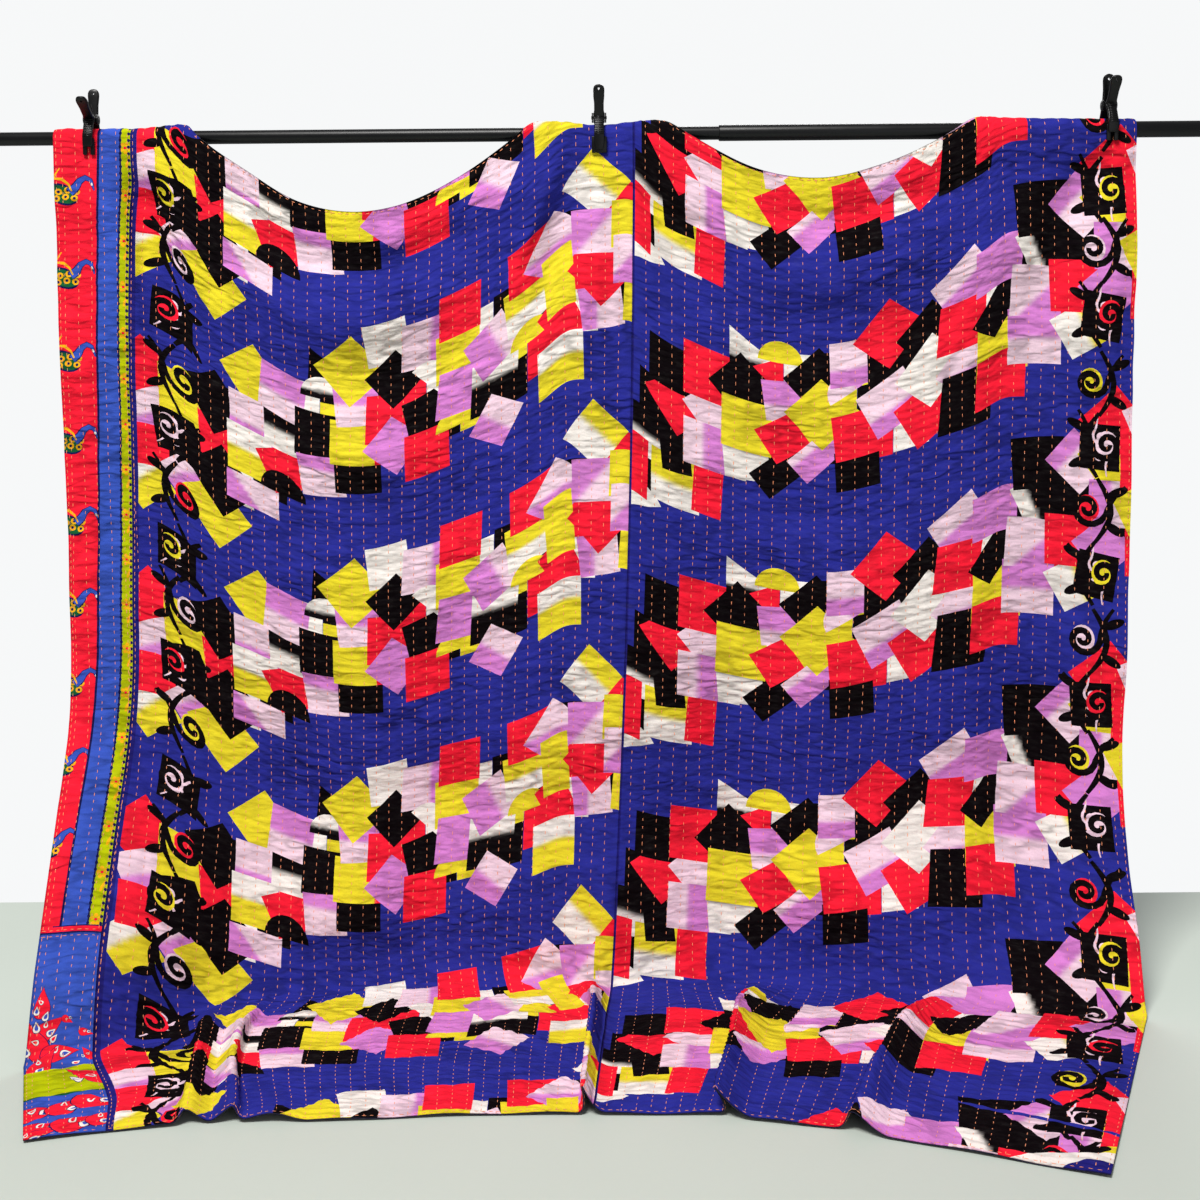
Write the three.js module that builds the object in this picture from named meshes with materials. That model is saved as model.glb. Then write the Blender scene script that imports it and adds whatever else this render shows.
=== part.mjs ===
// A kantha quilt hung over a telescoping rod by three spring clips, its lower part lying on the floor.
// Millimetres, +Z up, +X to the right along the rod. The cloth falls in front of the rod, towards -Y.
import * as THREE from "three";

const { degToRad, lerp, smoothstep } = THREE.MathUtils;

// Quilt: s runs across it from the left edge, t runs down it from the top edge.
const QUILT_WIDTH = 2140;
const QUILT_LENGTH = 2200;
const CENTRE_SEAM = 1159;
const CORNER_TOP = 1700;
const SEAM_GAP = 0.6;
const STITCHED_THICKNESS = 1.6;
const FRONT_PUFF = 1.0;
const BACK_PUFF = 0.5;
const COLUMN_PITCH = 36;
const SLIDE_WEIGHT = 1.8;
const COLUMN_SAMPLES = 200;
const LEAST_ROW = 6;
const NORMAL_STEP = 2;

// Rod
const ROD_HEIGHT = 1609;
const ROD_END = 1230;
const INNER_RADIUS = 12.5;
const OUTER_RADIUS = 15;
const OUTER_MOUTH = 228;
const OUTER_LIP = 1.2;
const TUBE_OVERLAP = 180;
const TUBE_CLEARANCE = 0.5;
const END_WALL = 12;
const ROD_SIDES = 28;
const TUBE_STEP = 200;

// Drop of the cloth
const KNEE_RADIUS = 500;
const FOOT_RADIUS = 48;
const FLOOR_REST = 1.4;
const FLOOR_RIPPLE = 3;
const FLOOR_RIPPLE_PITCH = 190;
const FLOOR_RIPPLE_GROWS = 120;
const RIDGE_EASE = 0.6;
const FOLD_FADE_TOP = [60, 170];
const FOLD_FADE_FOOT = [-160, 10];
const CLIP_SLACK = 2;

// The top edge: its place across (x), how far it has slid past the rod's crest (over, negative
// behind the rod) and how far the cloth stands off the rod (slack).
const TOP_EDGE = [
  { s: 0, x: -1012, over: -60, slack: CLIP_SLACK },
  { s: 67, x: -945, over: -60, slack: CLIP_SLACK },
  { s: 170, x: -843, over: -55, slack: 2.5 },
  { s: 230, x: -785, over: -18, slack: 8 },
  { s: 277, x: -741, over: 35, slack: 8 },
  { s: 383, x: -653, over: 94, slack: 5 },
  { s: 490, x: -561, over: 150, slack: 5 },
  { s: 594, x: -462, over: 171, slack: 5 },
  { s: 690, x: -366, over: 158, slack: 5 },
  { s: 800, x: -265, over: 112, slack: 5 },
  { s: 924, x: -160, over: 46, slack: 8 },
  { s: 975, x: -116, over: 8, slack: 9 },
  { s: 1030, x: -62, over: -46, slack: 7 },
  { s: 1076, x: -16, over: -60, slack: CLIP_SLACK },
  { s: 1116, x: 24, over: -60, slack: CLIP_SLACK },
  { s: 1159, x: 67, over: -52, slack: 7 },
  { s: 1200, x: 107, over: -8, slack: 9 },
  { s: 1261, x: 164, over: 36, slack: 8 },
  { s: 1403, x: 291, over: 100, slack: 5 },
  { s: 1530, x: 415, over: 120, slack: 5 },
  { s: 1650, x: 532, over: 95, slack: 5 },
  { s: 1763, x: 637, over: 54, slack: 8 },
  { s: 1840, x: 707, over: 10, slack: 9 },
  { s: 1905, x: 771, over: -42, slack: 5 },
  { s: 2091, x: 957, over: -46, slack: CLIP_SLACK },
  { s: 2140, x: 1003, over: -46, slack: CLIP_SLACK },
];

// The drop below the rod: height where the cloth starts to slant forward (knee), how far in front
// of the rod it meets the floor (foot) and how far in front its hem lies (hem).
const DROP = [
  { s: 0, knee: 560, foot: 420, hem: 667 },
  { s: 130, knee: 520, foot: 375, hem: 638 },
  { s: 325, knee: 400, foot: 175, hem: 612 },
  { s: 600, knee: 320, foot: 100, hem: 608 },
  { s: 860, knee: 300, foot: 88, hem: 594 },
  { s: 1159, knee: 300, foot: 92, hem: 596 },
  { s: 1450, knee: 300, foot: 108, hem: 604 },
  { s: 1620, knee: 300, foot: 130, hem: 636 },
  { s: 1790, knee: 300, foot: 170, hem: 672 },
  { s: 2140, knee: 320, foot: 255, hem: 796 },
];

// Where the edges and the centre seam lie across, half way down, at the floor line and at the hem.
const SPREAD = [
  { s: 0, middle: -1010, foot: -985, hem: -897 },
  { s: 1159, middle: 52, foot: 13, hem: -16 },
  { s: 2140, middle: 1003, foot: 975, hem: 736 },
];

// Border seam, across the quilt at places down it.
const BORDER_SEAM = [
  { t: 0, s: 147 },
  { t: 800, s: 134 },
  { t: CORNER_TOP, s: 112 },
  { t: 2200, s: 132 },
];

// Ridges on the floor: place across at the floor line and at the hem, cloth in the ridge (wide),
// cloth it takes up, height, lean to the side, distance past the floor line where it starts and is
// full, and the share of it left at the hem.
const RIDGES = [
  { atFoot: 300, atHem: 296, wide: 120, takes: 70, rise: 36, lean: -14, start: -40, full: 170, left: 0.6 },
  { atFoot: 392, atHem: 398, wide: 120, takes: 65, rise: 32, lean: 14, start: -20, full: 190, left: 0.7 },
  { atFoot: 520, atHem: 505, wide: 130, takes: 0, rise: 13, lean: 0, start: 380, full: 500, left: 1 },
  { atFoot: 1106, atHem: 1112, wide: 150, takes: 95, rise: 46, lean: -14, start: -70, full: 170, left: 1 },
  { atFoot: 1450, atHem: 1458, wide: 160, takes: 100, rise: 46, lean: -34, start: -50, full: 180, left: 1 },
  { atFoot: 1800, atHem: 1742, wide: 150, takes: 85, rise: 42, lean: -20, start: -70, full: 150, left: 0.7 },
];

// Soft folds in the hanging cloth: line from (s0, t0) to (s1, t1), half width, depth towards the
// front (negative is a trough) and the share along the line where it is deepest.
const FOLDS = [
  { s0: 150, t0: 110, s1: 330, t1: 640, half: 55, depth: -28, peak: 0.35 },
  { s0: 95, t0: 130, s1: 185, t1: 760, half: 60, depth: 14, peak: 0.4 },
  { s0: 330, t0: 110, s1: 880, t1: 110, half: 38, depth: -14, peak: 0.5 },
  { s0: 320, t0: 225, s1: 900, t1: 225, half: 52, depth: 17, peak: 0.5 },
  { s0: 350, t0: 360, s1: 890, t1: 360, half: 60, depth: -13, peak: 0.5 },
  { s0: 380, t0: 520, s1: 860, t1: 520, half: 80, depth: 12, peak: 0.5 },
  { s0: 1085, t0: 70, s1: 950, t1: 430, half: 34, depth: -17, peak: 0.3 },
  { s0: 1040, t0: 80, s1: 890, t1: 330, half: 30, depth: 13, peak: 0.3 },
  { s0: 1110, t0: 80, s1: 1060, t1: 540, half: 34, depth: 10, peak: 0.35 },
  { s0: 1190, t0: 80, s1: 1330, t1: 430, half: 44, depth: -14, peak: 0.35 },
  { s0: 1290, t0: 90, s1: 1800, t1: 90, half: 34, depth: -10, peak: 0.5 },
  { s0: 1290, t0: 200, s1: 1810, t1: 200, half: 50, depth: 13, peak: 0.5 },
  { s0: 1330, t0: 330, s1: 1790, t1: 330, half: 60, depth: -10, peak: 0.5 },
  { s0: 2060, t0: 90, s1: 1890, t1: 540, half: 48, depth: -18, peak: 0.35 },
  { s0: 2105, t0: 110, s1: 2075, t1: 720, half: 40, depth: 10, peak: 0.4 },
  { s0: 240, t0: 1500, s1: 1060, t1: 1520, half: 70, depth: 12, peak: 0.5 },
  { s0: 1230, t0: 1520, s1: 2000, t1: 1490, half: 70, depth: 12, peak: 0.5 },
];

// Long soft waves across the hanging cloth, growing between two places down it.
const WAVES = [
  { pitch: 520, phase: 0.6, depth: 14, from: 250, to: 1100 },
  { pitch: 310, phase: 2.1, depth: 7, from: 500, to: 1500 },
];

// Rows of points down the quilt: each stretch ends at "to" and is cut into "steps".
const ROW_STRETCHES = [
  { to: 96, steps: 8 },
  { to: 330, steps: 6 },
  { to: 1540, steps: 13 },
  { to: 1960, steps: 12 },
  { to: QUILT_LENGTH, steps: 5 },
];

// Clips: place along the rod, lift above it, outward lean of the front and back handles from upright.
const CLIPS = [
  { name: "clip_1", x: -945, lift: 4, rod: INNER_RADIUS, frontLean: 56, backLean: 7 },
  { name: "clip_2", x: 4, lift: 0, rod: INNER_RADIUS, frontLean: 18, backLean: 16 },
  { name: "clip_3", x: 957, lift: 14, rod: OUTER_RADIUS, frontLean: 36, backLean: -10 },
];
const CLIP_PIVOT = 30;
const CLIP_GAP = 0.6;
const SPRING_RADIUS = 8;
const SPRING_LENGTH = 25;
const SPRING_EASE = 1;
const SPRING_SIDES = 20;
const PAD_WIDTH = 28;
const PAD_DEPTH = 6;
const PAD_TOP = -7;
const PAD_BOTTOM = -37;
const PAD_CHAMFER = 1.5;

// Clip lever below its handle: distance past the face it follows, height, width and thickness.
const LEVER = [
  { face: "pad", past: 2, up: -31, wide: 14, thick: 4 },
  { face: "pad", past: 2, up: -18, wide: 19, thick: 4 },
  { face: "pad", past: 2.4, up: -2, wide: 19, thick: 4.4 },
  { face: "cloth", past: 4.5, up: 9, wide: 18, thick: 6.5 },
  { face: "shoulder", past: 4, up: 21, wide: 18, thick: 7 },
  { face: "spring", past: 3.6, up: CLIP_PIVOT, wide: 22, thick: 7 },
];

// Clip handle, from the pivot up: distance, width and thickness.
const HANDLE = [
  { up: 12, wide: 18, thick: 7 },
  { up: 30, wide: 18, thick: 7.5 },
  { up: 46, wide: 21, thick: 7 },
  { up: 54, wide: 20, thick: 6 },
  { up: 58, wide: 15, thick: 5 },
  { up: 59.5, wide: 8, thick: 3.6 },
];

const CLOTH = { roughness: 0.9, metalness: 0 };
const BLACK_METAL = { color: 0x17191b, roughness: 0.38, metalness: 0.5 };
const BLACK_PLASTIC = { color: 0x101213, roughness: 0.5, metalness: 0 };

// A smooth curve through a table's rows, read from one named column against another.
function readTable(rows, key, field, at) {
  let i = rows.findIndex((row) => row[key] >= at) - 1;
  if (at <= rows[0][key]) i = 0;
  if (at >= rows[rows.length - 1][key]) i = rows.length - 2;
  const slope = (k) => {
    const before = rows[Math.max(k - 1, 0)];
    const after = rows[Math.min(k + 1, rows.length - 1)];
    return (after[field] - before[field]) / (after[key] - before[key]);
  };
  const span = rows[i + 1][key] - rows[i][key];
  const u = (at - rows[i][key]) / span;
  const start = (1 + 2 * u) * (1 - u) ** 2 * rows[i][field] + u * (1 - u) ** 2 * span * slope(i);
  const end = u * u * (3 - 2 * u) * rows[i + 1][field] - u * u * (1 - u) * span * slope(i + 1);
  return start + end;
}

// Straight runs joined by round bends in the plane of forward distance and height, walked by
// distance. Each bend turns from down towards forward.
function bentPath(corners, radii) {
  const heading = (a, b) => Math.atan2(b.forward - a.forward, a.height - b.height);
  const runs = [];
  const bends = [];
  let length = 0;
  let trimmed = 0;
  for (let i = 0; i + 1 < corners.length; i++) {
    const from = heading(corners[i], corners[i + 1]);
    const gap = Math.hypot(
      corners[i + 1].forward - corners[i].forward,
      corners[i + 1].height - corners[i].height,
    );
    const last = i + 2 === corners.length;
    const turn = last ? 0 : heading(corners[i + 1], corners[i + 2]) - from;
    const trim = last ? 0 : radii[i] * Math.tan(turn / 2);
    runs.push({ at: length, corner: corners[i], offset: trimmed, from });
    length += gap - trimmed - trim;
    if (last) break;
    runs.push({ at: length, corner: corners[i + 1], offset: -trim, from, radius: radii[i] });
    bends.push(length + (radii[i] * turn) / 2);
    length += radii[i] * turn;
    trimmed = trim;
  }
  const place = (distance) => {
    const run = runs.findLast((each) => each.at <= distance) ?? runs[0];
    const past = distance - run.at;
    const forward = run.corner.forward + run.offset * Math.sin(run.from);
    const height = run.corner.height - run.offset * Math.cos(run.from);
    if (!run.radius) {
      return {
        forward: forward + past * Math.sin(run.from),
        height: height - past * Math.cos(run.from),
        heading: run.from,
      };
    }
    const now = run.from + past / run.radius;
    return {
      forward: forward + run.radius * (Math.cos(run.from) - Math.cos(now)),
      height: height - run.radius * (Math.sin(now) - Math.sin(run.from)),
      heading: now,
    };
  };
  return { place, length, bends };
}

// Radius at which the middle of the cloth rounds the rod.
function wrapRadius(s) {
  const tube = lerp(INNER_RADIUS, OUTER_RADIUS, smoothstep(s, CENTRE_SEAM, CENTRE_SEAM + TUBE_STEP));
  return tube + readTable(TOP_EDGE, "s", "slack", s) + STITCHED_THICKNESS / 2 + BACK_PUFF;
}

// One line of cloth from its top edge, round the rod, down and forward along the floor.
function hangingLine(s) {
  const radius = wrapRadius(s);
  const corners = [
    { forward: radius, height: ROD_HEIGHT },
    { forward: radius, height: readTable(DROP, "s", "knee", s) },
    { forward: readTable(DROP, "s", "foot", s), height: FLOOR_REST },
    { forward: readTable(DROP, "s", "hem", s), height: FLOOR_REST },
  ];
  const drop = bentPath(corners, [KNEE_RADIUS, FOOT_RADIUS]);
  const quarter = (radius * Math.PI) / 2;
  const start = readTable(TOP_EDGE, "s", "over", s);
  const place = (walked) => {
    if (walked > quarter) return drop.place(walked - quarter);
    const behind = Math.max(0, -quarter - walked);
    const angle = Math.max(walked, -quarter) / radius;
    return {
      forward: radius * Math.sin(angle),
      height: ROD_HEIGHT + radius * Math.cos(angle) - behind,
      heading: Math.PI / 2 - angle,
    };
  };
  return { place, start, foot: quarter + drop.bends[1], end: quarter + drop.length };
}

function ridgeShare(ridge, past, floorShare) {
  const grown = smoothstep(past, ridge.start, ridge.full);
  return grown * lerp(1, ridge.left, smoothstep(floorShare, RIDGE_EASE, 1));
}

function ridgePlace(ridge, floorShare) {
  return lerp(ridge.atFoot, ridge.atHem, floorShare) - ridge.wide / 2;
}

// Place across the quilt once the ridges have taken up their cloth.
function gathered(s, past, floorShare) {
  return RIDGES.reduce((rest, ridge) => {
    const start = ridgePlace(ridge, floorShare);
    const taken = smoothstep(s, start, start + ridge.wide);
    return rest - ridge.takes * ridgeShare(ridge, past, floorShare) * taken;
  }, s);
}

// Place of a gathered point between the left edge, the centre seam and the right edge.
function spreadAcross(field, s, past, floorShare) {
  const at = SPREAD.map((row) => gathered(row.s, past, floorShare));
  const here = gathered(s, past, floorShare);
  const i = here < at[1] ? 0 : 1;
  const share = (here - at[i]) / (at[i + 1] - at[i]);
  return lerp(SPREAD[i][field], SPREAD[i + 1][field], share);
}

function foldDepth(fold, s, t) {
  const ds = fold.s1 - fold.s0;
  const dt = fold.t1 - fold.t0;
  const along = ((s - fold.s0) * ds + (t - fold.t0) * dt) / (ds * ds + dt * dt);
  if (along <= 0 || along >= 1) return 0;
  const aside = Math.hypot(s - fold.s0 - along * ds, t - fold.t0 - along * dt);
  const window = Math.sin(Math.PI * along ** (Math.log(0.5) / Math.log(fold.peak)));
  return fold.depth * window * Math.exp(-((aside / fold.half) ** 2));
}

function waveDepth(wave, s, t) {
  const grown = smoothstep(t, wave.from, wave.to);
  return wave.depth * grown * Math.sin((2 * Math.PI * s) / wave.pitch + wave.phase);
}

// The middle of the cloth at a place on the quilt.
function drape(s, t) {
  const line = hangingLine(s);
  const walked = lerp(line.start, line.end, t / QUILT_LENGTH);
  const past = walked - line.foot;
  const floorShare = Math.max(0, past / (line.end - line.foot));
  const down = Math.min(1, (walked - line.start) / (line.foot - line.start));
  const { forward, height, heading } = line.place(walked);

  const top = readTable(TOP_EDGE, "s", "x", s);
  const middle = spreadAcross("middle", s, -Infinity, 0);
  const foot = spreadAcross("foot", s, past, floorShare);
  const hanging = top * (2 * down - 1) * (down - 1) + middle * 4 * down * (1 - down);
  const lower = lerp(foot, spreadAcross("hem", s, past, floorShare), floorShare);
  let x = hanging + lower * down * (2 * down - 1);

  const folds = FOLDS.reduce((sum, fold) => sum + foldDepth(fold, s, t), 0);
  const waves = WAVES.reduce((sum, wave) => sum + waveDepth(wave, s, t), 0);
  const free = smoothstep(walked, ...FOLD_FADE_TOP) * (1 - smoothstep(past, ...FOLD_FADE_FOOT));
  let outward = (folds + waves) * free;
  const ripple = Math.sin((2 * Math.PI * s) / FLOOR_RIPPLE_PITCH) * Math.cos(t / FLOOR_RIPPLE_PITCH);
  outward += FLOOR_RIPPLE * (1 + ripple) * smoothstep(past, 0, FLOOR_RIPPLE_GROWS);
  for (const ridge of RIDGES) {
    const across = (s - ridgePlace(ridge, floorShare)) / ridge.wide;
    if (across <= 0 || across >= 1) continue;
    const swell = Math.sin(Math.PI * across) ** 2 * ridgeShare(ridge, past, floorShare);
    outward += ridge.rise * swell;
    x += ridge.lean * swell;
  }
  return new THREE.Vector3(
    x,
    -(forward + outward * Math.cos(heading)),
    height + outward * Math.sin(heading),
  );
}

function frontNormal(s, t) {
  const across = drape(s + NORMAL_STEP, t).sub(drape(s - NORMAL_STEP, t));
  const down = drape(s, t + NORMAL_STEP).sub(drape(s, t - NORMAL_STEP));
  return down.cross(across).normalize();
}

// A closed solid from a front and a back grid of points, both held column by column.
function sheetSolid(front, back) {
  const columns = front.length;
  const rows = front[0].length;
  const points = [...front.flat(), ...back.flat()];
  const faceSize = columns * rows;
  const index = [];
  const quad = (a, b, c, d) => index.push(a, b, c, a, c, d);
  const id = (i, j) => i * rows + j;
  for (let i = 0; i + 1 < columns; i++) {
    for (let j = 0; j + 1 < rows; j++) {
      const ring = [id(i, j), id(i, j + 1), id(i + 1, j + 1), id(i + 1, j)];
      quad(...ring);
      quad(...ring.map((corner) => corner + faceSize).reverse());
    }
  }
  const rim = [];
  for (let j = 0; j + 1 < rows; j++) rim.push(id(0, j));
  for (let i = 0; i + 1 < columns; i++) rim.push(id(i, rows - 1));
  for (let j = rows - 1; j > 0; j--) rim.push(id(columns - 1, j));
  for (let i = columns - 1; i > 0; i--) rim.push(id(i, 0));
  rim.forEach((a, k) => {
    const b = rim[(k + 1) % rim.length];
    quad(a, a + faceSize, b + faceSize, b);
  });
  return solidGeometry(points, index);
}

function solidGeometry(points, index) {
  const geometry = new THREE.BufferGeometry().setFromPoints(points);
  geometry.setIndex(index);
  geometry.computeVertexNormals();
  return geometry;
}

// Places of a piece's rows of points between its two ends.
function rowPlaces(from, to) {
  const places = [];
  let start = 0;
  for (const stretch of ROW_STRETCHES) {
    for (let k = 1; k <= stretch.steps; k++) places.push(lerp(start, stretch.to, k / stretch.steps));
    start = stretch.to;
  }
  const inside = places.filter((t) => t > from + LEAST_ROW && t < to - LEAST_ROW);
  return [from, ...inside, to];
}

// Shares of a panel's width where its columns stand: closer where the top edge slides over the rod.
function columnShares(left, right) {
  const reached = [0];
  for (let k = 1; k <= COLUMN_SAMPLES; k++) {
    const step = (right - left) / COLUMN_SAMPLES;
    const s = left + step * k;
    const slide = readTable(TOP_EDGE, "s", "over", s) - readTable(TOP_EDGE, "s", "over", s - step);
    reached.push(reached[k - 1] + Math.hypot(step, SLIDE_WEIGHT * slide));
  }
  const whole = reached[COLUMN_SAMPLES];
  const steps = 2 * Math.round(whole / COLUMN_PITCH / 2);
  return Array.from({ length: steps + 1 }, (_, i) => {
    const goal = (whole * i) / steps;
    const k = reached.findLastIndex((distance) => distance <= goal);
    if (k === COLUMN_SAMPLES) return 1;
    return (k + (goal - reached[k]) / (reached[k + 1] - reached[k])) / COLUMN_SAMPLES;
  });
}

// One cut piece of the quilt between two seams or edges, puffed between its stitched columns.
function panelGeometry({ left, right, top, bottom }) {
  const shares = columnShares(left(0), right(0));
  const places = rowPlaces(top, bottom);
  const front = [];
  const back = [];
  shares.forEach((share, i) => {
    const puff = i % 2;
    const frontSide = places.map((t) => {
      const s = lerp(left(t), right(t), share);
      return drape(s, t).addScaledVector(frontNormal(s, t), STITCHED_THICKNESS / 2 + FRONT_PUFF * puff);
    });
    const backSide = places.map((t) => {
      const s = lerp(left(t), right(t), share);
      return drape(s, t).addScaledVector(frontNormal(s, t), -STITCHED_THICKNESS / 2 - BACK_PUFF * puff);
    });
    front.push(frontSide);
    back.push(backSide);
  });
  return sheetSolid(front, back);
}

function borderSeam(t) {
  return readTable(BORDER_SEAM, "t", "s", t);
}

// A round bar or tube along X, turned from a profile of [radius, x] points.
function turnedAlongX(profile, sides) {
  const outline = profile.map(([radius, x]) => new THREE.Vector2(radius, x));
  return new THREE.LatheGeometry(outline, sides).rotateZ(-Math.PI / 2);
}

function rodInnerGeometry() {
  const end = OUTER_MOUTH + TUBE_OVERLAP;
  return turnedAlongX([[0, -ROD_END], [INNER_RADIUS, -ROD_END], [INNER_RADIUS, end], [0, end]], ROD_SIDES);
}

function rodOuterGeometry() {
  const bore = INNER_RADIUS + TUBE_CLEARANCE;
  const lip = OUTER_RADIUS - OUTER_LIP;
  const floor = ROD_END - END_WALL;
  const profile = [
    [0, floor],
    [bore, floor],
    [bore, OUTER_MOUTH],
    [lip, OUTER_MOUTH],
    [OUTER_RADIUS, OUTER_MOUTH + OUTER_LIP],
    [OUTER_RADIUS, ROD_END],
    [0, ROD_END],
  ];
  return turnedAlongX(profile, ROD_SIDES);
}

// A band swept through rows of {out, up, wide, thick}, with chamfered sections square to its line.
function bandGeometry(rows) {
  const points = [];
  rows.forEach((row, k) => {
    const before = rows[Math.max(k - 1, 0)];
    const after = rows[Math.min(k + 1, rows.length - 1)];
    const along = new THREE.Vector2(after.out - before.out, after.up - before.up).normalize();
    const aside = new THREE.Vector2(along.y, -along.x);
    const bevel = Math.min(row.thick, row.wide) / 4;
    const halfWide = row.wide / 2;
    const halfThick = row.thick / 2;
    const section = [
      [halfWide, halfThick - bevel],
      [halfWide - bevel, halfThick],
      [bevel - halfWide, halfThick],
      [-halfWide, halfThick - bevel],
      [-halfWide, bevel - halfThick],
      [bevel - halfWide, -halfThick],
      [halfWide - bevel, -halfThick],
      [halfWide, bevel - halfThick],
    ];
    for (const [x, off] of section) {
      points.push(new THREE.Vector3(x, -(row.out + off * aside.x), row.up + off * aside.y));
    }
  });
  const sides = points.length / rows.length;
  const index = [];
  for (let k = 0; k + 1 < rows.length; k++) {
    for (let i = 0; i < sides; i++) {
      const a = k * sides + i;
      const b = k * sides + ((i + 1) % sides);
      index.push(a, b + sides, b, a, a + sides, b + sides);
    }
  }
  const last = (rows.length - 1) * sides;
  for (let i = 1; i + 1 < sides; i++) {
    index.push(0, i, i + 1);
    index.push(last, last + i + 1, last + i);
  }
  return solidGeometry(points, index);
}

// Distance from the rod's axis at which a clip's jaw clears the cloth.
function jawReach(clip) {
  return clip.rod + CLIP_SLACK + BACK_PUFF + STITCHED_THICKNESS + FRONT_PUFF + CLIP_GAP;
}

// Lever rows: jaw beside the pad, round the rod's shoulder, seat against the spring, then the handle.
function leverRows(clip, lean) {
  const cloth = jawReach(clip);
  const spring = SPRING_RADIUS + CLIP_GAP;
  const faces = { pad: cloth + PAD_DEPTH + CLIP_GAP, cloth, spring, shoulder: (cloth + spring) / 2 };
  const rows = LEVER.map((row) => ({ ...row, out: faces[row.face] + row.past }));
  const seat = rows[rows.length - 1];
  const angle = degToRad(lean);
  for (const { up, wide, thick } of HANDLE) {
    rows.push({ out: seat.out + up * Math.sin(angle), up: seat.up + up * Math.cos(angle), wide, thick });
  }
  return rows;
}

// Pad rows: a box with eased ends that lies against the cloth.
function padRows(clip) {
  const out = jawReach(clip) + PAD_DEPTH / 2;
  const eased = { wide: PAD_WIDTH - 2 * PAD_CHAMFER, thick: PAD_DEPTH - PAD_CHAMFER };
  const full = { wide: PAD_WIDTH, thick: PAD_DEPTH };
  return [
    { out, up: PAD_BOTTOM, ...eased },
    { out, up: PAD_BOTTOM + PAD_CHAMFER, ...full },
    { out, up: PAD_TOP - PAD_CHAMFER, ...full },
    { out, up: PAD_TOP, ...eased },
  ];
}

function springGeometry() {
  const half = SPRING_LENGTH / 2;
  const rim = SPRING_RADIUS - SPRING_EASE;
  const full = half - SPRING_EASE;
  const profile = [
    [0, -half],
    [rim, -half],
    [SPRING_RADIUS, -full],
    [SPRING_RADIUS, full],
    [rim, half],
    [0, half],
  ];
  return turnedAlongX(profile, SPRING_SIDES).translate(0, 0, CLIP_PIVOT);
}

function named(name, geometry, finish) {
  const mesh = new THREE.Mesh(geometry, new THREE.MeshStandardMaterial(finish));
  mesh.name = name;
  return mesh;
}

function quiltGroup() {
  const group = new THREE.Group();
  const half = SEAM_GAP / 2;
  const edgeLeft = () => 0;
  const edgeRight = () => QUILT_WIDTH;
  const pieces = [
    {
      name: "border_panel", color: 0xe0283c,
      left: edgeLeft, right: (t) => borderSeam(t) - half, top: 0, bottom: CORNER_TOP - half,
    },
    {
      name: "corner_panel", color: 0x3f5fc8,
      left: edgeLeft, right: (t) => borderSeam(t) - half, top: CORNER_TOP + half, bottom: QUILT_LENGTH,
    },
    {
      name: "main_panel_left", color: 0x3f389c,
      left: (t) => borderSeam(t) + half, right: () => CENTRE_SEAM - half, top: 0, bottom: QUILT_LENGTH,
    },
    {
      name: "main_panel_right", color: 0x3f389c,
      left: () => CENTRE_SEAM + half, right: edgeRight, top: 0, bottom: QUILT_LENGTH,
    },
  ];
  for (const piece of pieces) {
    group.add(named(piece.name, panelGeometry(piece), { ...CLOTH, color: piece.color }));
  }
  return group;
}

function rodGroup() {
  const group = new THREE.Group();
  group.add(named("rod_inner", rodInnerGeometry(), BLACK_METAL));
  group.add(named("rod_outer", rodOuterGeometry(), BLACK_METAL));
  group.position.z = ROD_HEIGHT;
  return group;
}

function clipGroup(clip) {
  const group = new THREE.Group();
  const turned = (geometry) => geometry.rotateZ(Math.PI);
  const { name, frontLean, backLean } = clip;
  group.add(named(`${name}_front_lever`, bandGeometry(leverRows(clip, frontLean)), BLACK_PLASTIC));
  group.add(named(`${name}_back_lever`, turned(bandGeometry(leverRows(clip, backLean))), BLACK_PLASTIC));
  group.add(named(`${name}_front_pad`, bandGeometry(padRows(clip)), BLACK_PLASTIC));
  group.add(named(`${name}_back_pad`, turned(bandGeometry(padRows(clip))), BLACK_PLASTIC));
  group.add(named(`${name}_spring`, springGeometry(), BLACK_METAL));
  group.position.set(clip.x, 0, ROD_HEIGHT + clip.lift);
  return group;
}

// The whole part, with the middle of its box over the origin and its lowest point on the floor.
const part = new THREE.Group();
part.add(quiltGroup(), rodGroup(), ...CLIPS.map(clipGroup));
const box = new THREE.Box3().setFromObject(part);
const middle = box.getCenter(new THREE.Vector3());
part.position.set(-middle.x, -middle.y, -box.min.z);

export default part;
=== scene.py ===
"""Looks of a kantha quilt hung over a telescoping rod by spring clips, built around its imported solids."""

import logging
import math
from dataclasses import dataclass, field
from enum import Enum
from typing import Any, Callable, Optional, Sequence

import bmesh
import bpy
import numpy as np
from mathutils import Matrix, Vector
from mathutils.geometry import delaunay_2d_cdt


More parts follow.
